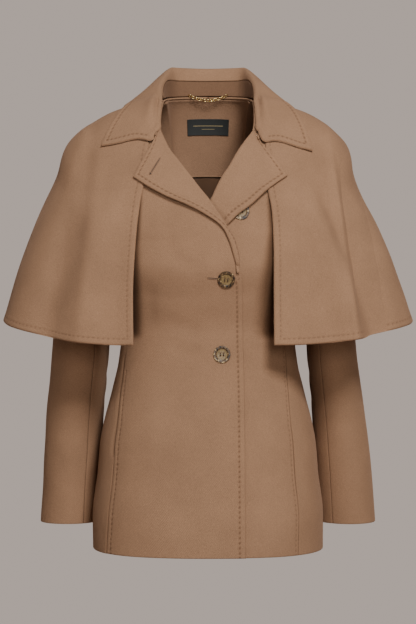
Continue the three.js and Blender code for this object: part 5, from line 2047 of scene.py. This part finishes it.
class JACKET_OT_body(bpy.types.Operator):
    """Make the fronts, the side fronts and the backs"""

    bl_idname = "jacket.body"
    bl_label = "Body panels"
    bl_options = {"REGISTER", "UNDO"}

    def execute(self, context):
        make_body(context.scene.jacket_cloth, context.scene.jacket_stitching)
        return {"FINISHED"}


class JACKET_OT_sleeves(bpy.types.Operator):
    """Make the two-piece sleeves"""

    bl_idname = "jacket.sleeves"
    bl_label = "Sleeves"
    bl_options = {"REGISTER", "UNDO"}

    def execute(self, context):
        make_sleeves(context.scene.jacket_cloth, context.scene.jacket_stitching)
        return {"FINISHED"}


class JACKET_OT_cape(bpy.types.Operator):
    """Make the capelet's halves and their stitching"""

    bl_idname = "jacket.cape"
    bl_label = "Capelet"
    bl_options = {"REGISTER", "UNDO"}

    def execute(self, context):
        make_cape(context.scene.jacket_cloth, context.scene.jacket_stitching)
        return {"FINISHED"}


class JACKET_OT_lapels(bpy.types.Operator):
    """Make the lapels and their stitching"""

    bl_idname = "jacket.lapels"
    bl_label = "Lapels"
    bl_options = {"REGISTER", "UNDO"}

    def execute(self, context):
        make_lapels(context.scene.jacket_cloth, context.scene.jacket_stitching)
        return {"FINISHED"}


class JACKET_OT_collar(bpy.types.Operator):
    """Make the collar, its stand and its stitching"""

    bl_idname = "jacket.collar"
    bl_label = "Collar"
    bl_options = {"REGISTER", "UNDO"}

    def execute(self, context):
        make_collar(context.scene.jacket_cloth, context.scene.jacket_stitching)
        return {"FINISHED"}


class JACKET_OT_neck_lining(bpy.types.Operator):
    """Make the facing, piping, lining and label inside the back"""

    bl_idname = "jacket.neck_lining"
    bl_label = "Inside of the neck"
    bl_options = {"REGISTER", "UNDO"}

    def execute(self, context):
        make_neck_lining(context.scene.jacket_cloth)
        return {"FINISHED"}


class JACKET_OT_chain(bpy.types.Operator):
    """Make the hanger chain's links"""

    bl_idname = "jacket.chain"
    bl_label = "Hanger chain"
    bl_options = {"REGISTER", "UNDO"}

    def execute(self, context):
        make_chain()
        return {"FINISHED"}


class JACKET_OT_buttons(bpy.types.Operator):
    """Make the buttons and their threads"""

    bl_idname = "jacket.buttons"
    bl_label = "Buttons"
    bl_options = {"REGISTER", "UNDO"}

    def execute(self, context):
        make_buttons(context.scene.jacket_buttons)
        return {"FINISHED"}


OPERATORS = (
    JACKET_OT_stage,
    JACKET_OT_body,
    JACKET_OT_sleeves,
    JACKET_OT_cape,
    JACKET_OT_lapels,
    JACKET_OT_collar,
    JACKET_OT_neck_lining,
    JACKET_OT_chain,
    JACKET_OT_buttons,
)


class JACKET_PT_sidebar(bpy.types.Panel):
    """Lists the jacket's settings and the steps that build it"""

    bl_idname = "JACKET_PT_sidebar"
    bl_label = "Wool jacket"
    bl_space_type = "VIEW_3D"
    bl_region_type = "UI"
    bl_category = "Jacket"

    def draw(self, context):
        for group in SETTINGS:
            box = self.layout.box()
            settings = getattr(context.scene, group)
            for name in settings.__annotations__:
                box.prop(settings, name)
        for operator in OPERATORS:
            self.layout.operator(operator.bl_idname)


SETTINGS = {
    "jacket_cloth": JacketCloth,
    "jacket_stitching": JacketStitching,
    "jacket_buttons": JacketButtons,
    "jacket_stage": JacketStage,
}


def register():
    for cls in (*SETTINGS.values(), *OPERATORS, JACKET_PT_sidebar):
        bpy.utils.register_class(cls)
    for name, cls in SETTINGS.items():
        setattr(bpy.types.Scene, name, PointerProperty(type=cls))


def unregister():
    for name in SETTINGS:
        delattr(bpy.types.Scene, name)
    for cls in (JACKET_PT_sidebar, *reversed(OPERATORS), *reversed(SETTINGS.values())):
        bpy.utils.unregister_class(cls)


def main():
    register()
    for operator in OPERATORS:
        group, name = operator.bl_idname.split(".")
        getattr(getattr(bpy.ops, group), name)()


if __name__ == "__main__":
    main()
